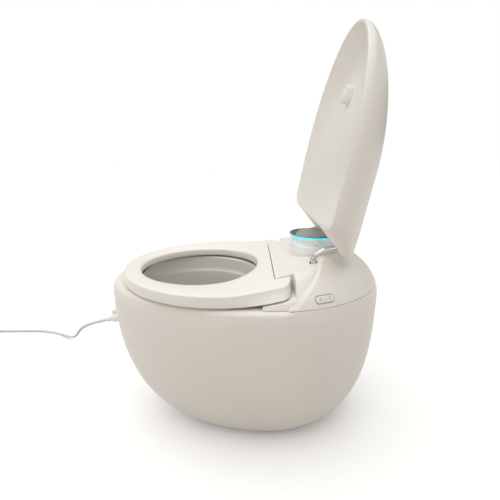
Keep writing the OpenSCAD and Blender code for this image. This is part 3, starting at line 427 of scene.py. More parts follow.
def begin(name, outline, filled=True):
    """A ring of points on the outline, open for editing."""
    bpy.ops.mesh.primitive_circle_add(vertices=len(outline), radius=0.1,
                                      fill_type="NGON" if filled else "NOTHING")
    piece = bpy.context.object
    piece.name = piece.data.name = name
    bpy.ops.object.mode_set(mode="EDIT")
    bpy.ops.mesh.select_mode(type="VERT")
    bpy.ops.mesh.select_all(action="SELECT")
    mesh = bmesh.from_edit_mesh(piece.data)
    order = mesh.verts.layers.int.new("order")
    for i, vertex in enumerate(mesh.verts):
        vertex[order] = i
        vertex.co = Vector(outline[i]) * MM
    bmesh.update_edit_mesh(piece.data)
    return piece


def draw(piece, outline):
    """Extrudes the selected ring and lays it on the next outline."""
    bpy.ops.mesh.extrude_region_move(TRANSFORM_OT_translate={"value": (0, 0, 0)})
    mesh = bmesh.from_edit_mesh(piece.data)
    order = mesh.verts.layers.int["order"]
    for vertex in mesh.verts:
        if vertex.select:
            vertex.co = Vector(outline[vertex[order]]) * MM
    bmesh.update_edit_mesh(piece.data)


def close(piece, weld=False):
    """Ends the editing, with all the faces looking out."""
    bpy.ops.mesh.select_all(action="SELECT")
    if weld:
        bpy.ops.mesh.remove_doubles(threshold=0.000002)
    bpy.ops.mesh.normals_make_consistent(inside=False)
    bpy.ops.object.mode_set(mode="OBJECT")
    return piece


def solid(name, outlines):
    """A closed form through the outlines, from the first cap to the last."""
    piece = begin(name, outlines[0])
    for outline in outlines[1:]:
        draw(piece, outline)
    return close(piece)


def ring_solid(name, outlines):
    """A tube-like form whose last outline meets the first again."""
    piece = begin(name, outlines[0], filled=False)
    for outline in outlines[1:] + outlines[:1]:
        draw(piece, outline)
    return close(piece, weld=True)


def cut(piece, tool, operation="DIFFERENCE"):
    only(piece)
    bpy.ops.object.modifier_add(type="BOOLEAN")
    modifier = piece.modifiers[-1]
    modifier.operation = operation
    modifier.solver = "EXACT"
    modifier.object = tool
    bpy.ops.object.modifier_apply(modifier=modifier.name)
    bpy.data.objects.remove(tool)


def apply_place(piece):
    only(piece)
    bpy.ops.object.transform_apply(location=True, rotation=True, scale=True)


def block(low, high, corner=0.0):
    """A cutting block, with its upright edges rounded."""
    middle = [(a + b) / 2 * MM for a, b in zip(low, high)]
    size = [(b - a) * MM for a, b in zip(low, high)]
    bpy.ops.mesh.primitive_cube_add(size=1, location=middle, scale=size)
    piece = bpy.context.object
    apply_place(piece)
    if corner:
        bpy.ops.object.mode_set(mode="EDIT")
        bpy.ops.mesh.select_mode(type="EDGE")
        bpy.ops.mesh.select_all(action="DESELECT")
        mesh = bmesh.from_edit_mesh(piece.data)
        for edge in mesh.edges:
            run = edge.verts[0].co - edge.verts[1].co
            edge.select_set(abs(run.z) > 0.9 * run.length)
        bmesh.update_edit_mesh(piece.data)
        bpy.ops.mesh.bevel(offset=corner * MM, segments=4, affect="EDGES")
        bpy.ops.object.mode_set(mode="OBJECT")
    return piece


def rod(start, end, radius, sides=64):
    """A round bar from one point to another."""
    start, end = Vector(start), Vector(end)
    run = end - start
    turn = run.to_track_quat("Z", "Y").to_euler()
    bpy.ops.mesh.primitive_cylinder_add(
        vertices=sides, radius=radius * MM, depth=run.length * MM,
        location=(start + end) / 2 * MM, rotation=turn)
    piece = bpy.context.object
    apply_place(piece)
    return piece


def finish_piece(piece, body, slot, material, *stands_for, angle=35):
    """Smooths a piece below the angle, gives it its material, hangs it on the body it moves
    with and hides the nodes it stands for.
    """
    only(piece)
    bpy.ops.object.shade_smooth_by_angle(angle=radians(angle))
    piece.data.materials.clear()
    piece.data.materials.append(material)
    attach(piece, body)
    if stands_for:
        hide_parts(*stands_for)


# ---- Body outlines ----

SIDES = 192
WIDE_X, FRONT, REAR, HALF_W = 10, 389, 272, 245
BELLY_Z, RIM_Z = 355, 383
FRONT_FOOT, REAR_FOOT, SIDE_FOOT = 133, 67, 100
FRONT_POW, REAR_POW, SIDE_POW = 2.34, 2.85, 1.8
CROWN_H, CROWN_POW = 137, 2.05
FOOT_H = 4
SEAM = 0.6
BELOW, ABOVE, BESIDE = 300, 600, 300  # the heights and half width that cutters span
TURNS = circle(SIDES)


def swell(t, power):
    """From 0 at the foot to 1 where the body is widest."""
    return (1 - (1 - clamp(t)) ** power) ** (1 / power)


def reach(half, foot, z, power):
    return foot + (half - foot) * swell(z / BELLY_Z, power)


def crown_share(z):
    """How wide the dome still is at a height, as a share of the widest outline."""
    return (1 - ((z - BELLY_Z) / CROWN_H) ** CROWN_POW) ** (1 / CROWN_POW)


def crown_z(k):
    return BELLY_Z + CROWN_H * (1 - min(1, k) ** CROWN_POW) ** (1 / CROWN_POW)


def body_point(a, z, inset=0.0):
    k = crown_share(z) if z > BELLY_Z else 1
    if cos(a) < 0:
        half = reach(FRONT, FRONT_FOOT, z, FRONT_POW)
    else:
        half = reach(REAR, REAR_FOOT, z, REAR_POW)
    side = reach(HALF_W, SIDE_FOOT, z, SIDE_POW)
    return (WIDE_X + (half * k - inset) * cos(a), (side * k - inset) * sin(a), z)


def body_ring(z, inset=0.0, at_z=None):
    ring = [body_point(a, z, inset) for a in TURNS]
    return ring if at_z is None else [(x, y, at_z) for x, y, _ in ring]


def spread(x, y, inset=0.0):
    half = FRONT if x < WIDE_X else REAR
    return hypot((x - WIDE_X) / (half - inset), y / (HALF_W - inset))


def oval_point(a, share, inset=0.0):
    half = (FRONT if cos(a) < 0 else REAR) - inset
    return WIDE_X + half * share * cos(a), (HALF_W - inset) * share * sin(a)


def dome_z(x, y, inset=0.0):
    return crown_z(spread(x, y, inset)) - inset / 2


# ---- Tub ----

RIM_W, TUB_WALL = 24, 9
RIM_ROUND, REAR_ROUND = 13, 1.5
ROUND_FROM, ROUND_OVER = 30, 40
FOOT_EDGE = 2.5
TUB_INSIDE_Z = (340, 320, 300, 275, 250, 225, 200, 175, 150, 125, 100, 80, 60, 44, 30,
                20, 14)


def rim_radius(a):
    """The rim's rounding, which gets sharp where the deck begins."""
    x = body_point(a, RIM_Z)[0]
    return RIM_ROUND + (REAR_ROUND - RIM_ROUND) * ease((x - ROUND_FROM) / ROUND_OVER)


def rim_ring(turn):
    ring = []
    for a in TURNS:
        r = rim_radius(a)
        x, y, _ = body_point(a, RIM_Z - r)
        drawn_in = r * (1 - cos(turn))
        z = RIM_Z - r + r * sin(turn)
        ring.append((x - drawn_in * cos(a), y - drawn_in * sin(a), z))
    return ring


def below_rim_ring(share):
    return [body_point(a, BELLY_Z + (RIM_Z - rim_radius(a) - BELLY_Z) * share)
            for a in TURNS]


GLAND_FROM, GLAND_TO = Vector((-372.5, -9, 268)), Vector(CORD_EXIT)
GLAND_AXIS = (GLAND_TO - GLAND_FROM).normalized()
GLAND_R, STEM_R, RUN_GAP = 12.3, 7, 0.3
VENT_X, VENT_Z, VENT_D = 150, 250, 75


def make_tub():
    rings = [body_ring(FOOT_H + FOOT_EDGE * (1 - cos(t)), FOOT_EDGE * (1 - sin(t)))
             for t in (0, pi / 8, pi / 4, 3 * pi / 8, pi / 2)]
    low = FOOT_H + FOOT_EDGE
    rings += [body_ring(low + (BELLY_Z - low) * (i / 44) ** 1.5) for i in range(1, 45)]
    rings += [below_rim_ring(i / 4) for i in range(1, 4)]
    rings += [rim_ring(pi / 2 * i / 10) for i in range(11)]
    rings += [body_ring(RIM_Z, RIM_W), body_ring(RIM_Z, RIM_W, RIM_Z - 8),
              body_ring(RIM_Z, TUB_WALL, RIM_Z - 20)]
    rings += [body_ring(z, TUB_WALL) for z in TUB_INSIDE_Z]
    tub = solid("egg_tub", rings)
    cut(tub, rod((VENT_X, 120, VENT_Z), (VENT_X, BESIDE, VENT_Z), VENT_D / 2 + RUN_GAP, 96))
    cut(tub, rod(GLAND_FROM, GLAND_FROM + GLAND_AXIS * 40, GLAND_R + RUN_GAP))
    cut(tub, rod(GLAND_FROM - GLAND_AXIS * 40, GLAND_FROM + GLAND_AXIS * 20,
                 STEM_R + RUN_GAP))
    finish_piece(tub, "base", "tub", tub_finish, "tub_shell")


make_tub()

# ---- Bowl ----

BOWL_X, BOWL_HALF_W, BOWL_FRONT, BOWL_REAR = -165, 158, 174, 155
LEDGE_Z, OUTLET_R, OUTLET_X, OUTLET_Z, THROAT_Z, BOWL_WALL = 342, 55, -130, 172, 195, 4
SPLIT_X = 17


def flange_ring(z):
    """The bowl's outline on the rim: the tub's opening, cut off straight at the deck."""
    ax = FRONT * crown_share(RIM_Z) - RIM_W - SEAM
    ay = HALF_W * crown_share(RIM_Z) - RIM_W - SEAM
    ring = []
    for a in TURNS:
        dx, dy, ox = cos(a) / ax, sin(a) / ay, (BOWL_X - WIDE_X) / ax
        qa, qb, qc = dx * dx + dy * dy, ox * dx, ox * ox - 1
        r = (-qb + sqrt(qb * qb - qa * qc)) / qa
        if cos(a) > 0.05:
            r = min(r, (SPLIT_X - 1 - BOWL_X) / cos(a))
        ring.append((BOWL_X + r * cos(a), r * sin(a), z))
    return ring


def bowl_ring(z, share, pull, extra=0.0):
    """An outline of the bowl: its share of the full size, drawn towards the outlet."""
    ring = []
    for a in TURNS:
        half = BOWL_FRONT if cos(a) < 0 else BOWL_REAR
        ring.append((BOWL_X + (OUTLET_X - BOWL_X) * pull + (half * share + extra) * cos(a),
                     (BOWL_HALF_W * share + extra) * sin(a), z))
    return ring


# Height, share of the full size and pull towards the outlet, down to the ledge and below
LEDGE_ROWS = [(LEDGE_Z + 12, 0.99, 0), (LEDGE_Z + 3, 0.985, 0), (LEDGE_Z, 0.972, 0),
              (LEDGE_Z - 1, 0.96, 0), (LEDGE_Z - 4, 0.95, 0)]
BASIN_ROWS = [(LEDGE_Z - 20, 0.92, 0.04), (LEDGE_Z - 40, 0.88, 0.1),
              (LEDGE_Z - 80, 0.78, 0.3), (LEDGE_Z - 115, 0.62, 0.6),
              (THROAT_Z + 14, 0.46, 0.9)]
BOWL_FLANGE, BOWL_ROUND = 5, 4


def make_bowl():
    rounded = [tuple(row) for row in smooth_line(BASIN_ROWS, 4)[:-1]] + BASIN_ROWS[-1:]
    outlet = [[(OUTLET_X + r * cos(a), r * sin(a), z) for a in TURNS] for z, r in
              ((THROAT_Z, OUTLET_R), (OUTLET_Z, OUTLET_R), (OUTLET_Z, OUTLET_R + BOWL_WALL),
               (THROAT_Z, OUTLET_R + BOWL_WALL))]
    rings = [flange_ring(RIM_Z - down) for down in (BOWL_FLANGE, 0.6, 0)]
    rings += [bowl_ring(RIM_Z - BOWL_ROUND + BOWL_ROUND * sin(t),
                        1.012 - 0.012 * 2 * (1 - cos(pi / 2 - t)), 0)
              for t in (pi / 2, pi / 3, pi / 6, 0)]
    rings += [bowl_ring(*row) for row in LEDGE_ROWS + rounded] + outlet
    rings += [bowl_ring(THROAT_Z + 12, 0.46, 0.9, BOWL_WALL)]
    rings += [bowl_ring(z - 2, share, pull, BOWL_WALL)
              for z, share, pull in reversed(BASIN_ROWS[:-1])]
    rings += [bowl_ring(LEDGE_Z - BOWL_WALL, 0.955, 0, BOWL_WALL),
              bowl_ring(RIM_Z - BOWL_FLANGE, 1, 0, BOWL_WALL)]
    bowl = ring_solid("bowl_moulding", rings)
    finish_piece(bowl, "base", "bowl", bowl_glaze_with_painted_shade(), "bowl_liner")


make_bowl()

# ---- Seat ----

SEAT_Z, SEAT_RISE, SEAT_HALF_W = 413, 16, 232
SEAT_MID_X, SEAT_FRONT_X, WING_X, SPLIT_HALF_W = -95, -346, 53, 157
HOLE_X, HOLE_FRONT, HOLE_REAR, HOLE_HALF_W = -150, 157, 134, 152
SEAT_SIDES, SEAT_H, SEAT_ROUND, RISE_LEN = 256, 25, 4.5, 147
SEAT_DISH, WING_FLARE = 4.5, 13
HINGE_X, HINGE_Z, HINGE_PIN_R = 45, 420.512, 3.5


def seat_lift(x):
    return SEAT_RISE * (max(0, x - SEAT_MID_X) / RISE_LEN) ** 2


def seat_outer(a):
    """The outline: an ellipse in front, and rounded wings with a straight end behind."""
    if cos(a) < 0:
        front = SEAT_MID_X - SEAT_FRONT_X
        return Vector((SEAT_MID_X + front * cos(a), SEAT_HALF_W * sin(a)))
    u = abs(cos(a)) ** 0.7
    x = SEAT_MID_X + (WING_X - SEAT_MID_X) * u
    half = (SEAT_HALF_W - 22 * ease((x - SEAT_MID_X) / 130)) * (1 - u ** 20) ** 0.22
    return Vector((x, half if sin(a) >= 0 else -half))


def seat_inner(a):
    half = HOLE_FRONT if cos(a) < 0 else HOLE_REAR
    return Vector((HOLE_X + half * cos(a), HOLE_HALF_W * sin(a)))


def seat_section():
    """Side (1 outer, 0 inner, 0.5 between), way in, drop from the top, share of dish."""
    quarter = [pi / 2 * i / 6 for i in range(7)]
    rows = [(1, 6, SEAT_H, 0), (1, 0.8, SEAT_H, 0), (1, 0.2, 24.8, 0), (1, 0, 24.2, 0),
            (1, 0, 14, 0)]
    rows += [(1, SEAT_ROUND * (1 - cos(t)), SEAT_ROUND * (1 - sin(t)), 0) for t in quarter]
    rows += [(0.5, 0.2, 0, 0.06), (0.5, 0.4, 0, 0.24), (0.5, 0.6, 0, 0.49),
             (0.5, 0.77, 0, 0.75), (0.5, 0.86, 0.1, 0.89)]
    rows += [(0, 4.5, 0.5, 1), (0, 2.2, 1.5, 1), (0, 0.7, 3.1, 1), (0, 0, 5.4, 1),
             (0, 0.2, 19, 0), (0, 0.8, 22, 0), (0, 2, 23.8, 0), (0, 4, 24.8, 0),
             (0, 8, SEAT_H, 0)]
    return rows + [(1, 40, SEAT_H, 0)]


def seat_ring(side, inward, drop, dished):
    ring = []
    for i in range(SEAT_SIDES):
        a = 2 * pi * (i + 0.5) / SEAT_SIDES
        outer, inner = seat_outer(a), seat_inner(a)
        across = (outer - inner).normalized()
        if side == 0.5:
            spot = outer.lerp(inner, inward)
        else:
            spot = outer - across * inward if side else inner + across * inward
        if side == 1 and inward < 20:
            flare = WING_FLARE * ease((spot.x - SEAT_MID_X) / 110) * clamp((drop - 5) / 19)
            spot.y += flare if spot.y > 0 else -flare
        dish = SEAT_DISH * (1 - 0.7 * ease((cos(a) + 0.2) / 1.2)) * dished
        ring.append((spot.x, spot.y, SEAT_Z + seat_lift(spot.x) - drop - dish))
    return ring


def hinge_bore(side, start, end):
    """A cutter for the bore of one of the seat's pins."""
    return rod((HINGE_X, side * start, HINGE_Z), (HINGE_X, side * end, HINGE_Z),
               HINGE_PIN_R, 32)


def make_seat():
    seat = ring_solid("ring_seat", [seat_ring(*row) for row in seat_section()])
    cut(seat, block((SPLIT_X, -SPLIT_HALF_W, BELOW),
                    (SPLIT_X + 300, SPLIT_HALF_W, ABOVE), 3))
    for side in (-1, 1):
        cut(seat, hinge_bore(side, 150, 186))
    finish_piece(seat, "seat_ring", "seat", seat_finish, "seat")


make_seat()

# ---- Deck and rear cover ----

DECK_Z, DECK_INSET, DECK_FLOOR = 449, 5, RIM_Z + SEAM
BAND_X, BAND_R, CHANNEL_HALF_W, CHANNEL_X = -231, 368, 108, 190
CHANNEL_CORNER, CHANNEL_STEPS = 8, 14
RAMP_FROM, RAMP_BACK, RAMP_DROP, RAMP_POW = 152, 133, 26.5, 1.7
RAMP_SOFT, RAMP_MOST = 9, 1.4
COVER_WALL = 6
BAND_W, BAND_DROP = 9, 4.5
BULGE_AT, BULGE_MOST, BULGE_FALL, BULGE_LEAST = 29.5, 5.4, 0.105, -8
LID_HINGE_X, LID_HINGE_Z, ARM_Y = 105, 452, 110
CHEEK_X, POCKET_GAP = -10, 2
BOARD_ROOM = ((107, -82, 370), (193, 82, 436))
SEAM_ROUND = 0.993


def ramp_z(x):
    """Height of the ramp, which rises backwards to the level place under the puck."""
    share = (max(0, RAMP_FROM - x) / RAMP_BACK) ** RAMP_POW
    return DECK_Z - RAMP_DROP * min(RAMP_MOST, share)


def soft_min(a, b, width):
    """The lower of two heights, with the edge between them rounded."""
    h = clamp(0.5 + 0.5 * (b - a) / width)
    return b + (a - b) * h - width * h * (1 - h) / 2


def deck_top(x, y):
    return soft_min(ramp_z(x), dome_z(x, y, DECK_INSET), RAMP_SOFT)


def deck_ring(k):
    edge = crown_share(DECK_FLOOR + DECK_INSET / 2) * k
    places = [oval_point(a, edge, DECK_INSET) for a in TURNS]
    return [(x, y, DECK_FLOOR + 0.5 if k == 1 else deck_top(x, y)) for x, y in places]


def bulge(a):
    """The arc swells a little where it comes down over the shoulder."""
    off = abs(pi - abs(pi - a)) * 180 / pi - BULGE_AT
    return max(BULGE_MOST - BULGE_FALL * off * off, 0 if off < 0 else BULGE_LEAST)


def channel_plan(grow):
    """Plan of what the rear cover leaves open: a big arc in front and a channel behind."""
    corner = CHANNEL_CORNER
    r, half, end = BAND_R + grow, CHANNEL_HALF_W + grow, CHANNEL_X + grow
    turn = atan2(half, sqrt(r * r - half * half))
    arc = [(BAND_X + (r + bulge(a)) * cos(a), (r + bulge(a)) * sin(a)) for a in
           [turn + (2 * pi - 2 * turn) * i / 360 for i in range(361)]]
    side_x = arc[0][0]
    straight = [side_x + (end - corner - side_x) * i / CHANNEL_STEPS
                for i in range(1, CHANNEL_STEPS)]
    near = [(x, -half) for x in straight]
    near += [(end - corner + corner * sin(t), -half + corner * (1 - cos(t)))
             for t in [pi / 2 * i / 8 for i in range(9)]]
    back = [(end, (-1 + 2 * i / 16) * (half - corner)) for i in range(1, 16)]
    far = [(x, -y) for x, y in reversed(near)]
    return arc + near + back + far


def plan_solid(grow):
    return solid("plan", [[(x, y, z) for x, y in channel_plan(grow)]
                          for z in (BELOW, ABOVE)])


def band_cutter():
    """The plan's opening with a broad bevel along its upper edge."""
    inner, outer = channel_plan(0), channel_plan(BAND_W)
    rings = [[(x, y, DECK_FLOOR - 8) for x, y in inner]]
    for plan, deep in ((inner, 1), (outer, -0.02)):
        rings.append([(x, y, max(dome_z(x, y), DECK_FLOOR) - BAND_DROP * deep)
                      for x, y in plan])
    rings.append([(x, y, 560) for x, y in outer])
    return solid("band_cutter", rings)


def wing_pocket(side):
    """A cutter for the room that one wing of the seat takes in the deck."""
    end_x = WING_X + POCKET_GAP + 2
    inner = SPLIT_HALF_W - POCKET_GAP
    xs = [CHEEK_X - 1 + (end_x - CHEEK_X + 1) * i / 12 for i in range(13)]
    floor = [(x, SEAT_Z - SEAT_H - 2 * POCKET_GAP + seat_lift(x)) for x in xs]
    outline = floor + [(end_x, ABOVE), (CHEEK_X - 1, ABOVE)]
    return solid("pocket", [[(x, y, z) for x, z in outline]
                            for y in (side * inner, side * BESIDE)])


def make_deck():
    shares = [1] + [1 - 0.985 * (i / 54) ** 1.15 for i in range(1, 55)]
    base = [(x, y, DECK_FLOOR) for x, y, _ in deck_ring(1)]
    rings = [base] + [deck_ring(k) for k in shares]
    deck = solid("ramped_deck", rings)
    cut(deck, plan_solid(-SEAM), "INTERSECT")
    cut(deck, block((-600, -BESIDE, BELOW), (CHEEK_X, BESIDE, ABOVE)))
    cut(deck, block((-600, -SPLIT_HALF_W + POCKET_GAP, BELOW),
                    (SPLIT_X + POCKET_GAP, SPLIT_HALF_W - POCKET_GAP, ABOVE)))
    for side in (-1, 1):
        cut(deck, wing_pocket(side))
        cut(deck, block((LID_HINGE_X - 7, side * ARM_Y - 8.5, LID_HINGE_Z - 13),
                        (LID_HINGE_X + 11, side * ARM_Y + 8.5, LID_HINGE_Z + 50), 3))
        cut(deck, hinge_bore(side, 130, 160))
    cut(deck, block(*BOARD_ROOM))
    finish_piece(deck, "base", "cover", cover_finish_painted_paler, "rear_deck")


def dome_rings(inset, floor, count):
    """Outlines of the dome from the seam to its top, on a base at the floor's height."""
    edge = crown_share(DECK_FLOOR) - inset / HALF_W
    drawn_in = 1 if floor < DECK_FLOOR else SEAM_ROUND
    base = [(WIDE_X + (x - WIDE_X) * drawn_in, y * drawn_in, floor)
            for x, y, _ in dome_ring(edge, inset)]
    return [base] + [dome_ring(edge * (1 - 0.0015 - 0.9885 * (i / count) ** 1.25), inset)
                     for i in range(count + 1)]


def dome_ring(k, inset):
    places = [oval_point(a, k) for a in TURNS]
    return [(x, y, crown_z(spread(x, y, inset)) - inset) for x, y in places]


# The push buttons' plane, on the near side of the cover
PAD_X, PAD_Z = 114, 400.5
PAD_Y = -0.5 - HALF_W * sqrt(crown_share(PAD_Z) ** 2 - ((PAD_X - WIDE_X) / REAR) ** 2)
PAD_TURN, PAD_TILT = radians(21.5), radians(59.5)
PAD_PLACE = (Matrix.Translation(Vector((PAD_X, PAD_Y, PAD_Z)))
             @ Matrix.Rotation(PAD_TURN, 4, "Z") @ Matrix.Rotation(PAD_TILT, 4, "X"))
PAD_LEN, PAD_W, PAD_STEPS = 44, 17, 12


def on_pad(outline, z):
    return [tuple(PAD_PLACE @ Vector((x, y, z))) for x, y in outline]


def stadium(smaller, z):
    """The buttons' long round outline at a height over their plane."""
    length, width = PAD_LEN - smaller, PAD_W - smaller
    r, half = width / 2, (length - width) / 2
    right = [(half + r * cos(t), r * sin(t))
             for t in [-pi / 2 + pi * i / PAD_STEPS for i in range(PAD_STEPS + 1)]]
    return on_pad(right + [(-x, -y) for x, y in right], z)


def make_cover():
    cover = solid("rear_cover_moulding", dome_rings(0, DECK_FLOOR, 60))
    hollow = solid("hollow", dome_rings(COVER_WALL, DECK_FLOOR - 1, 30))
    cut(hollow, plan_solid(COVER_WALL))
    cut(cover, hollow)
    cut(cover, band_cutter())
    cut(cover, solid("pad", [stadium(-0.6, z) for z in (-5.3, 30)]))
    finish_piece(cover, "base", "cover", cover_finish_painted_paler, "rear_cover", angle=12)


make_deck()
make_cover()

# ---- Lid ----

LID_FOOT_X, LID_FOOT_Z, LID_LEAN = 107, 537, radians(11.2)
LID_LEN, LID_HALF_W, LID_DEPTH, LID_MID, LIP = 419.7, 249, 119, 110, 5.5
LID_BULGE_T, LID_TOP_POW, LID_LOW_POW, LID_DOME_POW = 9, 2.1, 9, 1.65
LID_LOW_T, LID_SIDE_SLOPE, LID_MID_SLOPE = 84, 0.86, 0.25
LID_SLOPE_FROM, LID_SLOPE_OVER = 74, 58
LID_OUTSIDE_T = (117.5, 116, 114, 111.5, 108.5, 105, 101, 96.5, 91.5, 86, 80, 73, 65,
                 57, 49, 41, 33, 25, 18, 12, 7, 3, 1.8)
LID_LIP_ROWS = ((1.2, 0.1), (0.6, 0.35), (0.2, 0.8), (0, 1.4), (0, 1.9), (0, LIP - 0.1),
                (0.1, LIP))
LID_INSIDE_T = (1.5, 6, 14, 24, 34, 44, 54, 64, 74, 82, 90, 97, 103, 107.5, 110.5)


def lid_place(y, s, t):
    """A place across the lid, up along it from its foot, and back from its open face."""
    return (LID_FOOT_X + sin(LID_LEAN) * s + cos(LID_LEAN) * t, y,
            LID_FOOT_Z + cos(LID_LEAN) * s - sin(LID_LEAN) * t)


def lid_share(t, start):
    share = max(0, t - start) / (LID_DEPTH - start)
    return (1 - share ** LID_DOME_POW) ** (1 / LID_DOME_POW)


def lid_slope(y):
    share = ease((abs(y) - LID_SLOPE_FROM) / LID_SLOPE_OVER)
    return LID_MID_SLOPE + (LID_SIDE_SLOPE - LID_MID_SLOPE) * share


def lid_way(a):
    """How far across and along the lid's outline a direction reaches."""
    power = LID_TOP_POW if cos(a) > 0 else LID_LOW_POW
    r = (abs(cos(a)) ** power + abs(sin(a)) ** power) ** (-1 / power)
    return r * sin(a), r * cos(a)


def lid_ring(t, inset):
    k, low_k = lid_share(t, LID_BULGE_T), lid_share(t, LID_LOW_T)
    ring = []
    for a in TURNS:
        across, along = lid_way(a)
        y = (LID_HALF_W * k - inset) * across
        if along > 0:
            s = LID_MID + ((LID_LEN - LID_MID) * k - inset) * along
        else:
            low = (LID_MID + lid_slope(y) * min(t, LID_LOW_T)) * low_k - inset
            s = LID_MID + low * along
        ring.append(lid_place(y, s, t))
    return ring


ARM_R, EYE_R, EYE_W, EYE_BORE_R = 4.8, 6, 10, 2.5
ARM_PATH = [(LID_HINGE_X, LID_HINGE_Z), (108.5, 458), (113, 463), (119, 467.8), (126, 472),
            (134, 475.6), (142, 478), (150, 479.2), (165, 479.6)]


def make_lid():
    rings = [lid_ring(t, 0) for t in LID_OUTSIDE_T]
    rings += [lid_ring(t, inset) for t, inset in LID_LIP_ROWS]
    rings += [lid_ring(t, LIP) for t in LID_INSIDE_T]
    lid = solid("deep_lid", rings)
    z = ARM_PATH[-1][1]
    for side in (-1, 1):
        cut(lid, rod((ARM_PATH[-2][0], side * ARM_Y, z),
                     (LID_HINGE_X + 68, side * ARM_Y, z), ARM_R + RUN_GAP, 48))
    finish_piece(lid, "lid", "cover", cover_finish_painted_paler, "lid_shell")


DISH_RATE, DISH_POW, DISH_MID, DISH_EDGE = 0.12, 3.6, 190, 5.6


def dish_ring(k, lift):
    """The lid's outline at a share of its size, hollowed more the higher it lies."""
    ring = []
    for a in TURNS:
        across, along = lid_way(a)
        y = (LID_HALF_W - DISH_EDGE) * across
        s0 = LID_MID + ((LID_LEN - LID_MID if along > 0 else LID_MID) - DISH_EDGE) * along
        s = DISH_MID + (s0 - DISH_MID) * k
        deep = DISH_RATE * max(0, s) * (1 - k ** DISH_POW)
        ring.append(lid_place(y * k, s, 0.1 + deep + lift))
    return ring


def make_dish():
    shares = [1 - 0.99 * (i / 28) ** 1.2 for i in range(29)]
    rings = [dish_ring(k, 3) for k in reversed(shares)] + [dish_ring(k, 0) for k in shares]
    dish = solid("lid_dish", rings)
    finish_piece(dish, "lid", "cover", dish_finish_painted_paler, "lid_panel")


make_lid()
make_dish()

# ---- Control puck ----

PUCK_X, PUCK_R, GLASS_Z, GLASS_H, RING_H = 125, 61, 490, 5, 4
RING_TOP = GLASS_Z - GLASS_H - RUN_GAP
RING_UNDER = RING_TOP - RING_H
STAND_TOP, STAND_R, VANES_TOP = 484, PUCK_R - 1, 483.5
VANED_FROM, VANED_STEP, VANED_RINGS = 456, 0.9, 31
PIERCED_FROM = 1.5
PUCK_TURNS = circle(240)
VANES, VANE_FROM, VANE_DROP, VANE_DEEP = 5, radians(197), 20, 6.5


def puck_ring(r, z):
    return [(PUCK_X + r * cos(a), r * sin(a), z) for a in PUCK_TURNS]


def vane_depth(a, below):
    """How far the scoops under the light ring go in. Each sweeps down to the right."""
    p = ((a - VANE_FROM) * VANES / (2 * pi)) % 1
    deepest = 0
    for q in (p, p + 1):
        lower = VANE_DROP * ease(q / 0.3) ** 0.7 * (1 - 0.28 * ease((q - 0.8) / 0.25))
        upper = VANE_DROP * 0.72 * clamp((q - 0.6) / 0.43)
        if q < 1.03 and upper <= below < lower:
            share = (below - upper) / (lower - upper)
            deepest = max(deepest, VANE_DEEP * (1 - share ** 2) ** 0.5)
    return deepest


def vaned_ring(z):
    spokes = [(a, STAND_R - vane_depth(a, VANES_TOP - z)) for a in PUCK_TURNS]
    return [(PUCK_X + r * cos(a), r * sin(a), z) for a, r in spokes]


def foot_ring(r, lift):
    """An outline that follows the deck under the puck."""
    return [(x, y, deck_top(x, y) + RUN_GAP + lift) for x, y, _ in puck_ring(r, 0)]


def make_stand():
    rings = [foot_ring(PUCK_R - 3, 0), foot_ring(PUCK_R - 1.6, 0), foot_ring(STAND_R, 0.8)]
    rings += [vaned_ring(VANED_FROM + i * VANED_STEP) for i in range(VANED_RINGS)]
    rings += [puck_ring(r, z) for r, z in (
        (STAND_R, STAND_TOP - 0.4), (PUCK_R - 1.4, STAND_TOP), (PUCK_R - 2.4, STAND_TOP),
        (PUCK_R - 2.4, RING_UNDER - RUN_GAP), (2, RING_UNDER - RUN_GAP))]
    stand = solid("puck_stand", rings)
    finish_piece(stand, "base", "white", white_finish, "puck_pedestal", angle=50)
    stand.data.materials.append(pierced_finish())
    for face in stand.data.polygons:
        x, y, z = face.center / MM
        below = VANES_TOP - z
        if 0 < below < VANE_DROP and vane_depth(atan2(y, x - PUCK_X), below) > PIERCED_FROM:
            face.material_index = 1


def make_light_band():
    band = ring_solid("light_band", [puck_ring(r, z) for r, z in (
        (PUCK_R - 12, RING_UNDER), (PUCK_R - 2.8, RING_UNDER),
        (PUCK_R - 2.8, STAND_TOP + 0.4), (PUCK_R - 0.9, STAND_TOP + 0.5),
        (PUCK_R - 0.5, STAND_TOP + 0.9), (PUCK_R - 0.5, STAND_TOP + 3.6),
        (PUCK_R - 0.9, STAND_TOP + 4.1), (PUCK_R - 3.3, STAND_TOP + 4.1),
        (PUCK_R - 3.3, RING_TOP), (PUCK_R - 12, RING_TOP))])
    finish_piece(band, "base", "light", glow_finish(), "light_ring")


def make_touch_glass():
    under = GLASS_Z - GLASS_H
    top = solid("touch_glass", [puck_ring(r, z) for r, z in (
        (2, under), (PUCK_R - 4.3, under), (PUCK_R - 3.6, under + 0.6),
        (PUCK_R - 3.6, STAND_TOP + 4.4), (PUCK_R - 0.4, STAND_TOP + 4.4),
        (PUCK_R, STAND_TOP + 4.8), (PUCK_R, GLASS_Z - 0.9), (PUCK_R - 0.4, GLASS_Z - 0.35),
        (PUCK_R - 1.2, GLASS_Z), (PUCK_R - 3, GLASS_Z), (2, GLASS_Z))])
    finish_piece(top, "base", "glass", glass_finish(), "puck_glass")


make_stand()
make_light_band()
make_touch_glass()

# ---- Buttons ----

SPLIT = 1.0
BUTTON_MIDDLE = 10.5
CAP_ROWS = ((2.2, -2.9), (2.2, 0.0), (2.6, 0.4), (3.8, 0.7))


def make_button_frame():
    """A dark tray that shows as a thin line round the buttons."""
    tray = solid("button_frame", [stadium(smaller, z) for smaller, z in
                                  ((0, -5), (0, -0.6), (1.6, -0.6), (1.6, -4.6))])
    finish_piece(tray, "base", "white", seal_finish, "button_bezel")


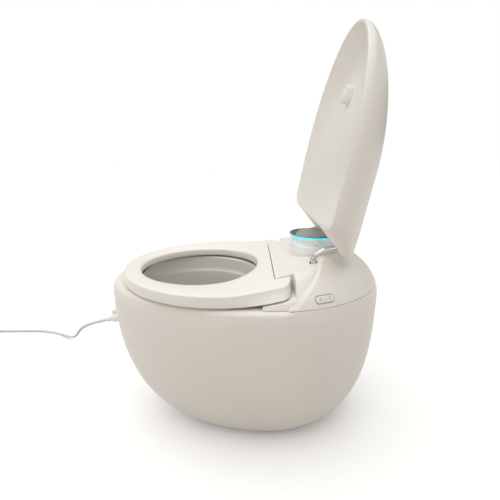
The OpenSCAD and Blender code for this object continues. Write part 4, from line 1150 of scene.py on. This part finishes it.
def make_button(side, body, node):
    """One half of the long button, nearly flush with the cover."""
    cap = solid(node + "_cap", [stadium(*row) for row in CAP_ROWS])
    low, high = (-40, -SPLIT / 2) if side > 0 else (SPLIT / 2, 40)
    other_half = [(low, -20), (high, -20), (high, 20), (low, 20)]
    cut(cap, solid("halver", [on_pad(other_half, z) for z in (-20, 20)]))
    sign = PAD_PLACE @ Vector((side * BUTTON_MIDDLE, 0, 0)) * MM
    finish = button_finish(node.replace("_", " ") + " face", (sign.x, sign.y))
    finish_piece(cap, body, "white", finish, node)


# ---- Arms, buffer and gland ----


def tube_rings(path, radius):
    """Outlines of a round bar along a path that keeps to one side of the body."""
    rings = []
    for i, spot in enumerate(path):
        way = (path[min(len(path) - 1, i + 1)] - path[max(0, i - 1)]).normalized()
        across = Vector((0, 1, 0))
        up = way.cross(across)
        rings.append([tuple(spot + (across * cos(t) + up * sin(t)) * radius)
                      for t in circle(24)])
    return rings


def hinge_rod(side, half, radius, sides):
    """A round bar on the lid's axis, round the middle of one arm."""
    return rod((LID_HINGE_X, side * ARM_Y - half, LID_HINGE_Z),
               (LID_HINGE_X, side * ARM_Y + half, LID_HINGE_Z), radius, sides)


def make_arm(side, name, node):
    points = [(x, side * ARM_Y, z) for x, z in ARM_PATH]
    arm = solid(name, tube_rings(smooth_line(points, 4), ARM_R))
    cut(arm, hinge_rod(side, EYE_W / 2, EYE_R, 48), "UNION")
    cut(arm, hinge_rod(side, 20, EYE_BORE_R, 32))
    finish_piece(arm, "lid", "chrome", chrome_finish, node)


BUFFER_S, BUFFER_LEN, BUFFER_W = 283, 43, 26
BUFFER_ROWS = ((0.6, 0), (0, 0.8), (0, 11), (0.5, 14), (1.8, 16.3), (3.8, 17.6), (6.5, 18))


def make_buffer():
    """The long round block, in rows of way in and way out from the dish."""
    rings = []
    for inset, out in BUFFER_ROWS:
        ring = []
        for i in range(64):
            t = 2 * pi * (i + 0.5) / 64
            half = BUFFER_W / 2 - inset
            ds = half * cos(t) + (1 if cos(t) > 0 else -1) * (BUFFER_LEN - BUFFER_W) / 2
            deep = DISH_RATE * (BUFFER_S + ds) * 0.98
            ring.append(lid_place(half * sin(t), BUFFER_S + ds, deep - out - 0.2))
        rings.append(ring)
    piece = solid("soft_buffer", rings)
    finish_piece(piece, "lid", "white", buffer_finish, "lid_buffer")


GLAND_PLACE = (Matrix.Translation(GLAND_FROM)
               @ Matrix.Rotation(atan2(GLAND_AXIS.y, GLAND_AXIS.x), 4, "Z")
               @ Matrix.Rotation(acos(GLAND_AXIS.z), 4, "Y"))
GLAND_LEN = (GLAND_TO - GLAND_FROM).length
# Radius and height along the gland's axis: stem, barrel, shoulder, neck and end collar
GLAND_ROWS = [
    (STEM_R - 0.6, -16), (STEM_R, -15.4), (STEM_R, RUN_GAP), (GLAND_R - 0.8, RUN_GAP),
    (GLAND_R, RUN_GAP + 0.8), (GLAND_R, 22), (GLAND_R - 0.5, 24.5), (GLAND_R - 2, 26.6),
    (GLAND_R - 4.2, 28.4), (GLAND_R - 5.6, 30.5), (6.2, GLAND_LEN - 9.4),
    (6.6, GLAND_LEN - 9), (7.5, GLAND_LEN - 8.4), (7.9, GLAND_LEN - 7),
    (7.9, GLAND_LEN - 3.6), (7.4, GLAND_LEN - 2.2), (5.9, GLAND_LEN - 1),
    (5.6, GLAND_LEN)]
KNOB_R = 6.5
KNOB_OFF = -GLAND_R - KNOB_R / 2 - 1.6
KNOB_ROWS = [(KNOB_R - 1, 7), (KNOB_R, 8), (KNOB_R, 17.5), (KNOB_R - 0.7, 20),
             (KNOB_R - 2.4, 21.8), (KNOB_R - 4.4, 22.5)]


def gland_ring(r, h, off=0.0):
    return [tuple(GLAND_PLACE @ Vector((off + r * cos(t), r * sin(t), h)))
            for t in circle(48)]


def make_gland():
    """The strain relief, with a knob on its upper side."""
    gland = solid("strain_relief", [gland_ring(*row) for row in GLAND_ROWS])
    knob = solid("knob", [gland_ring(r, h, KNOB_OFF) for r, h in KNOB_ROWS])
    cut(gland, knob, "UNION")
    finish_piece(gland, "base", "white", white_finish, "cord_gland")


make_button_frame()
make_button(-1, "front_button", "button_front")
make_button(1, "rear_button", "button_rear")
make_arm(-1, "near_arm", "lid_arm_near")
make_arm(1, "far_arm", "lid_arm_far")
make_buffer()
make_gland()

# ---- Floor and light ----

FLOOR_SEEN, FLOOR_BOUNCE = (1.0, 1.0, 1.0, 1), (0.58, 0.555, 0.52)
FLOOR_GLOW, FLOOR_LIFT = (0.93, 0.97, 1.0, 1), 0.1
ROOM_LIGHT, ROOM_COLOUR = 0.47, (1.0, 0.965, 0.915, 1)
SUN_AIM, SUN_SPREAD, SUN_STRENGTH = (0.22, 0.12, -1), 90, 2.0
# Shades from the horizon up, as a mirror sees the room
STRIPS = [(0.0, 0.9), (0.03, 0.05), (0.22, 0.03), (0.26, 1.0), (0.42, 1.0), (0.46, 0.06),
          (0.62, 0.05), (0.67, 1.0)]


def make_floor():
    """White where it is looked at, and duller for the light that it throws back."""
    bpy.ops.mesh.primitive_plane_add(size=24, location=(0, 0, 0))
    floor = bpy.context.object
    floor.name = "pale_floor"
    finish = Finish("pale floor", FLOOR_BOUNCE, 0.9)
    finish.set(**{"Specular IOR Level": 0.0})
    seen = finish.seen()
    darker = tuple(c * 0.98 for c in FLOOR_BOUNCE)
    bounce = finish.ramp(finish.noise(6.0, 2.0), [(0.3, darker), (0.7, FLOOR_BOUNCE)])
    finish.link(finish.mix(seen, bounce, FLOOR_SEEN), "Base Color")
    finish.set(**{"Emission Color": FLOOR_GLOW})
    finish.link(finish.maths("MULTIPLY", seen, FLOOR_LIFT), "Emission Strength")
    floor.data.materials.append(finish.material)


def make_world():
    """White where it is looked at, striped in mirrors, and dim and warm as a light."""
    world = bpy.data.worlds.new("studio")
    world.use_nodes = True
    scene.world = world
    air = Nodes(world.node_tree)
    room = air.tree.nodes["Background"]
    room.inputs["Color"].default_value = ROOM_COLOUR
    room.inputs["Strength"].default_value = ROOM_LIGHT
    way = air.node("ShaderNodeTexCoord").outputs["Generated"]
    height = air.node("ShaderNodeSeparateXYZ", {0: way}).outputs["Z"]
    strips = air.ramp(height, [(at, (shade,) * 3) for at, shade in STRIPS])
    mirrored = air.node("ShaderNodeLightPath").outputs["Is Glossy Ray"]
    shown = air.mix(mirrored, (1, 1, 1, 1), strips)
    seen = air.node("ShaderNodeBackground", {"Color": shown})
    mixed = air.node("ShaderNodeMixShader",
                     {"Fac": air.seen(), 1: room.outputs[0], 2: seen.outputs[0]})
    air.tree.links.new(mixed.outputs[0], air.tree.nodes["World Output"].inputs["Surface"])


def make_softbox():
    """A sun so broad that its shadows are as soft as those of a softbox."""
    turn = Vector(SUN_AIM).to_track_quat("-Z", "Y").to_euler()
    bpy.ops.object.light_add(type="SUN", location=(0, 0, 3), rotation=turn)
    lamp = bpy.context.object
    lamp.name = "top_softbox"
    lamp.data.angle = radians(SUN_SPREAD)
    lamp.data.energy = SUN_STRENGTH


make_floor()
make_world()
make_softbox()
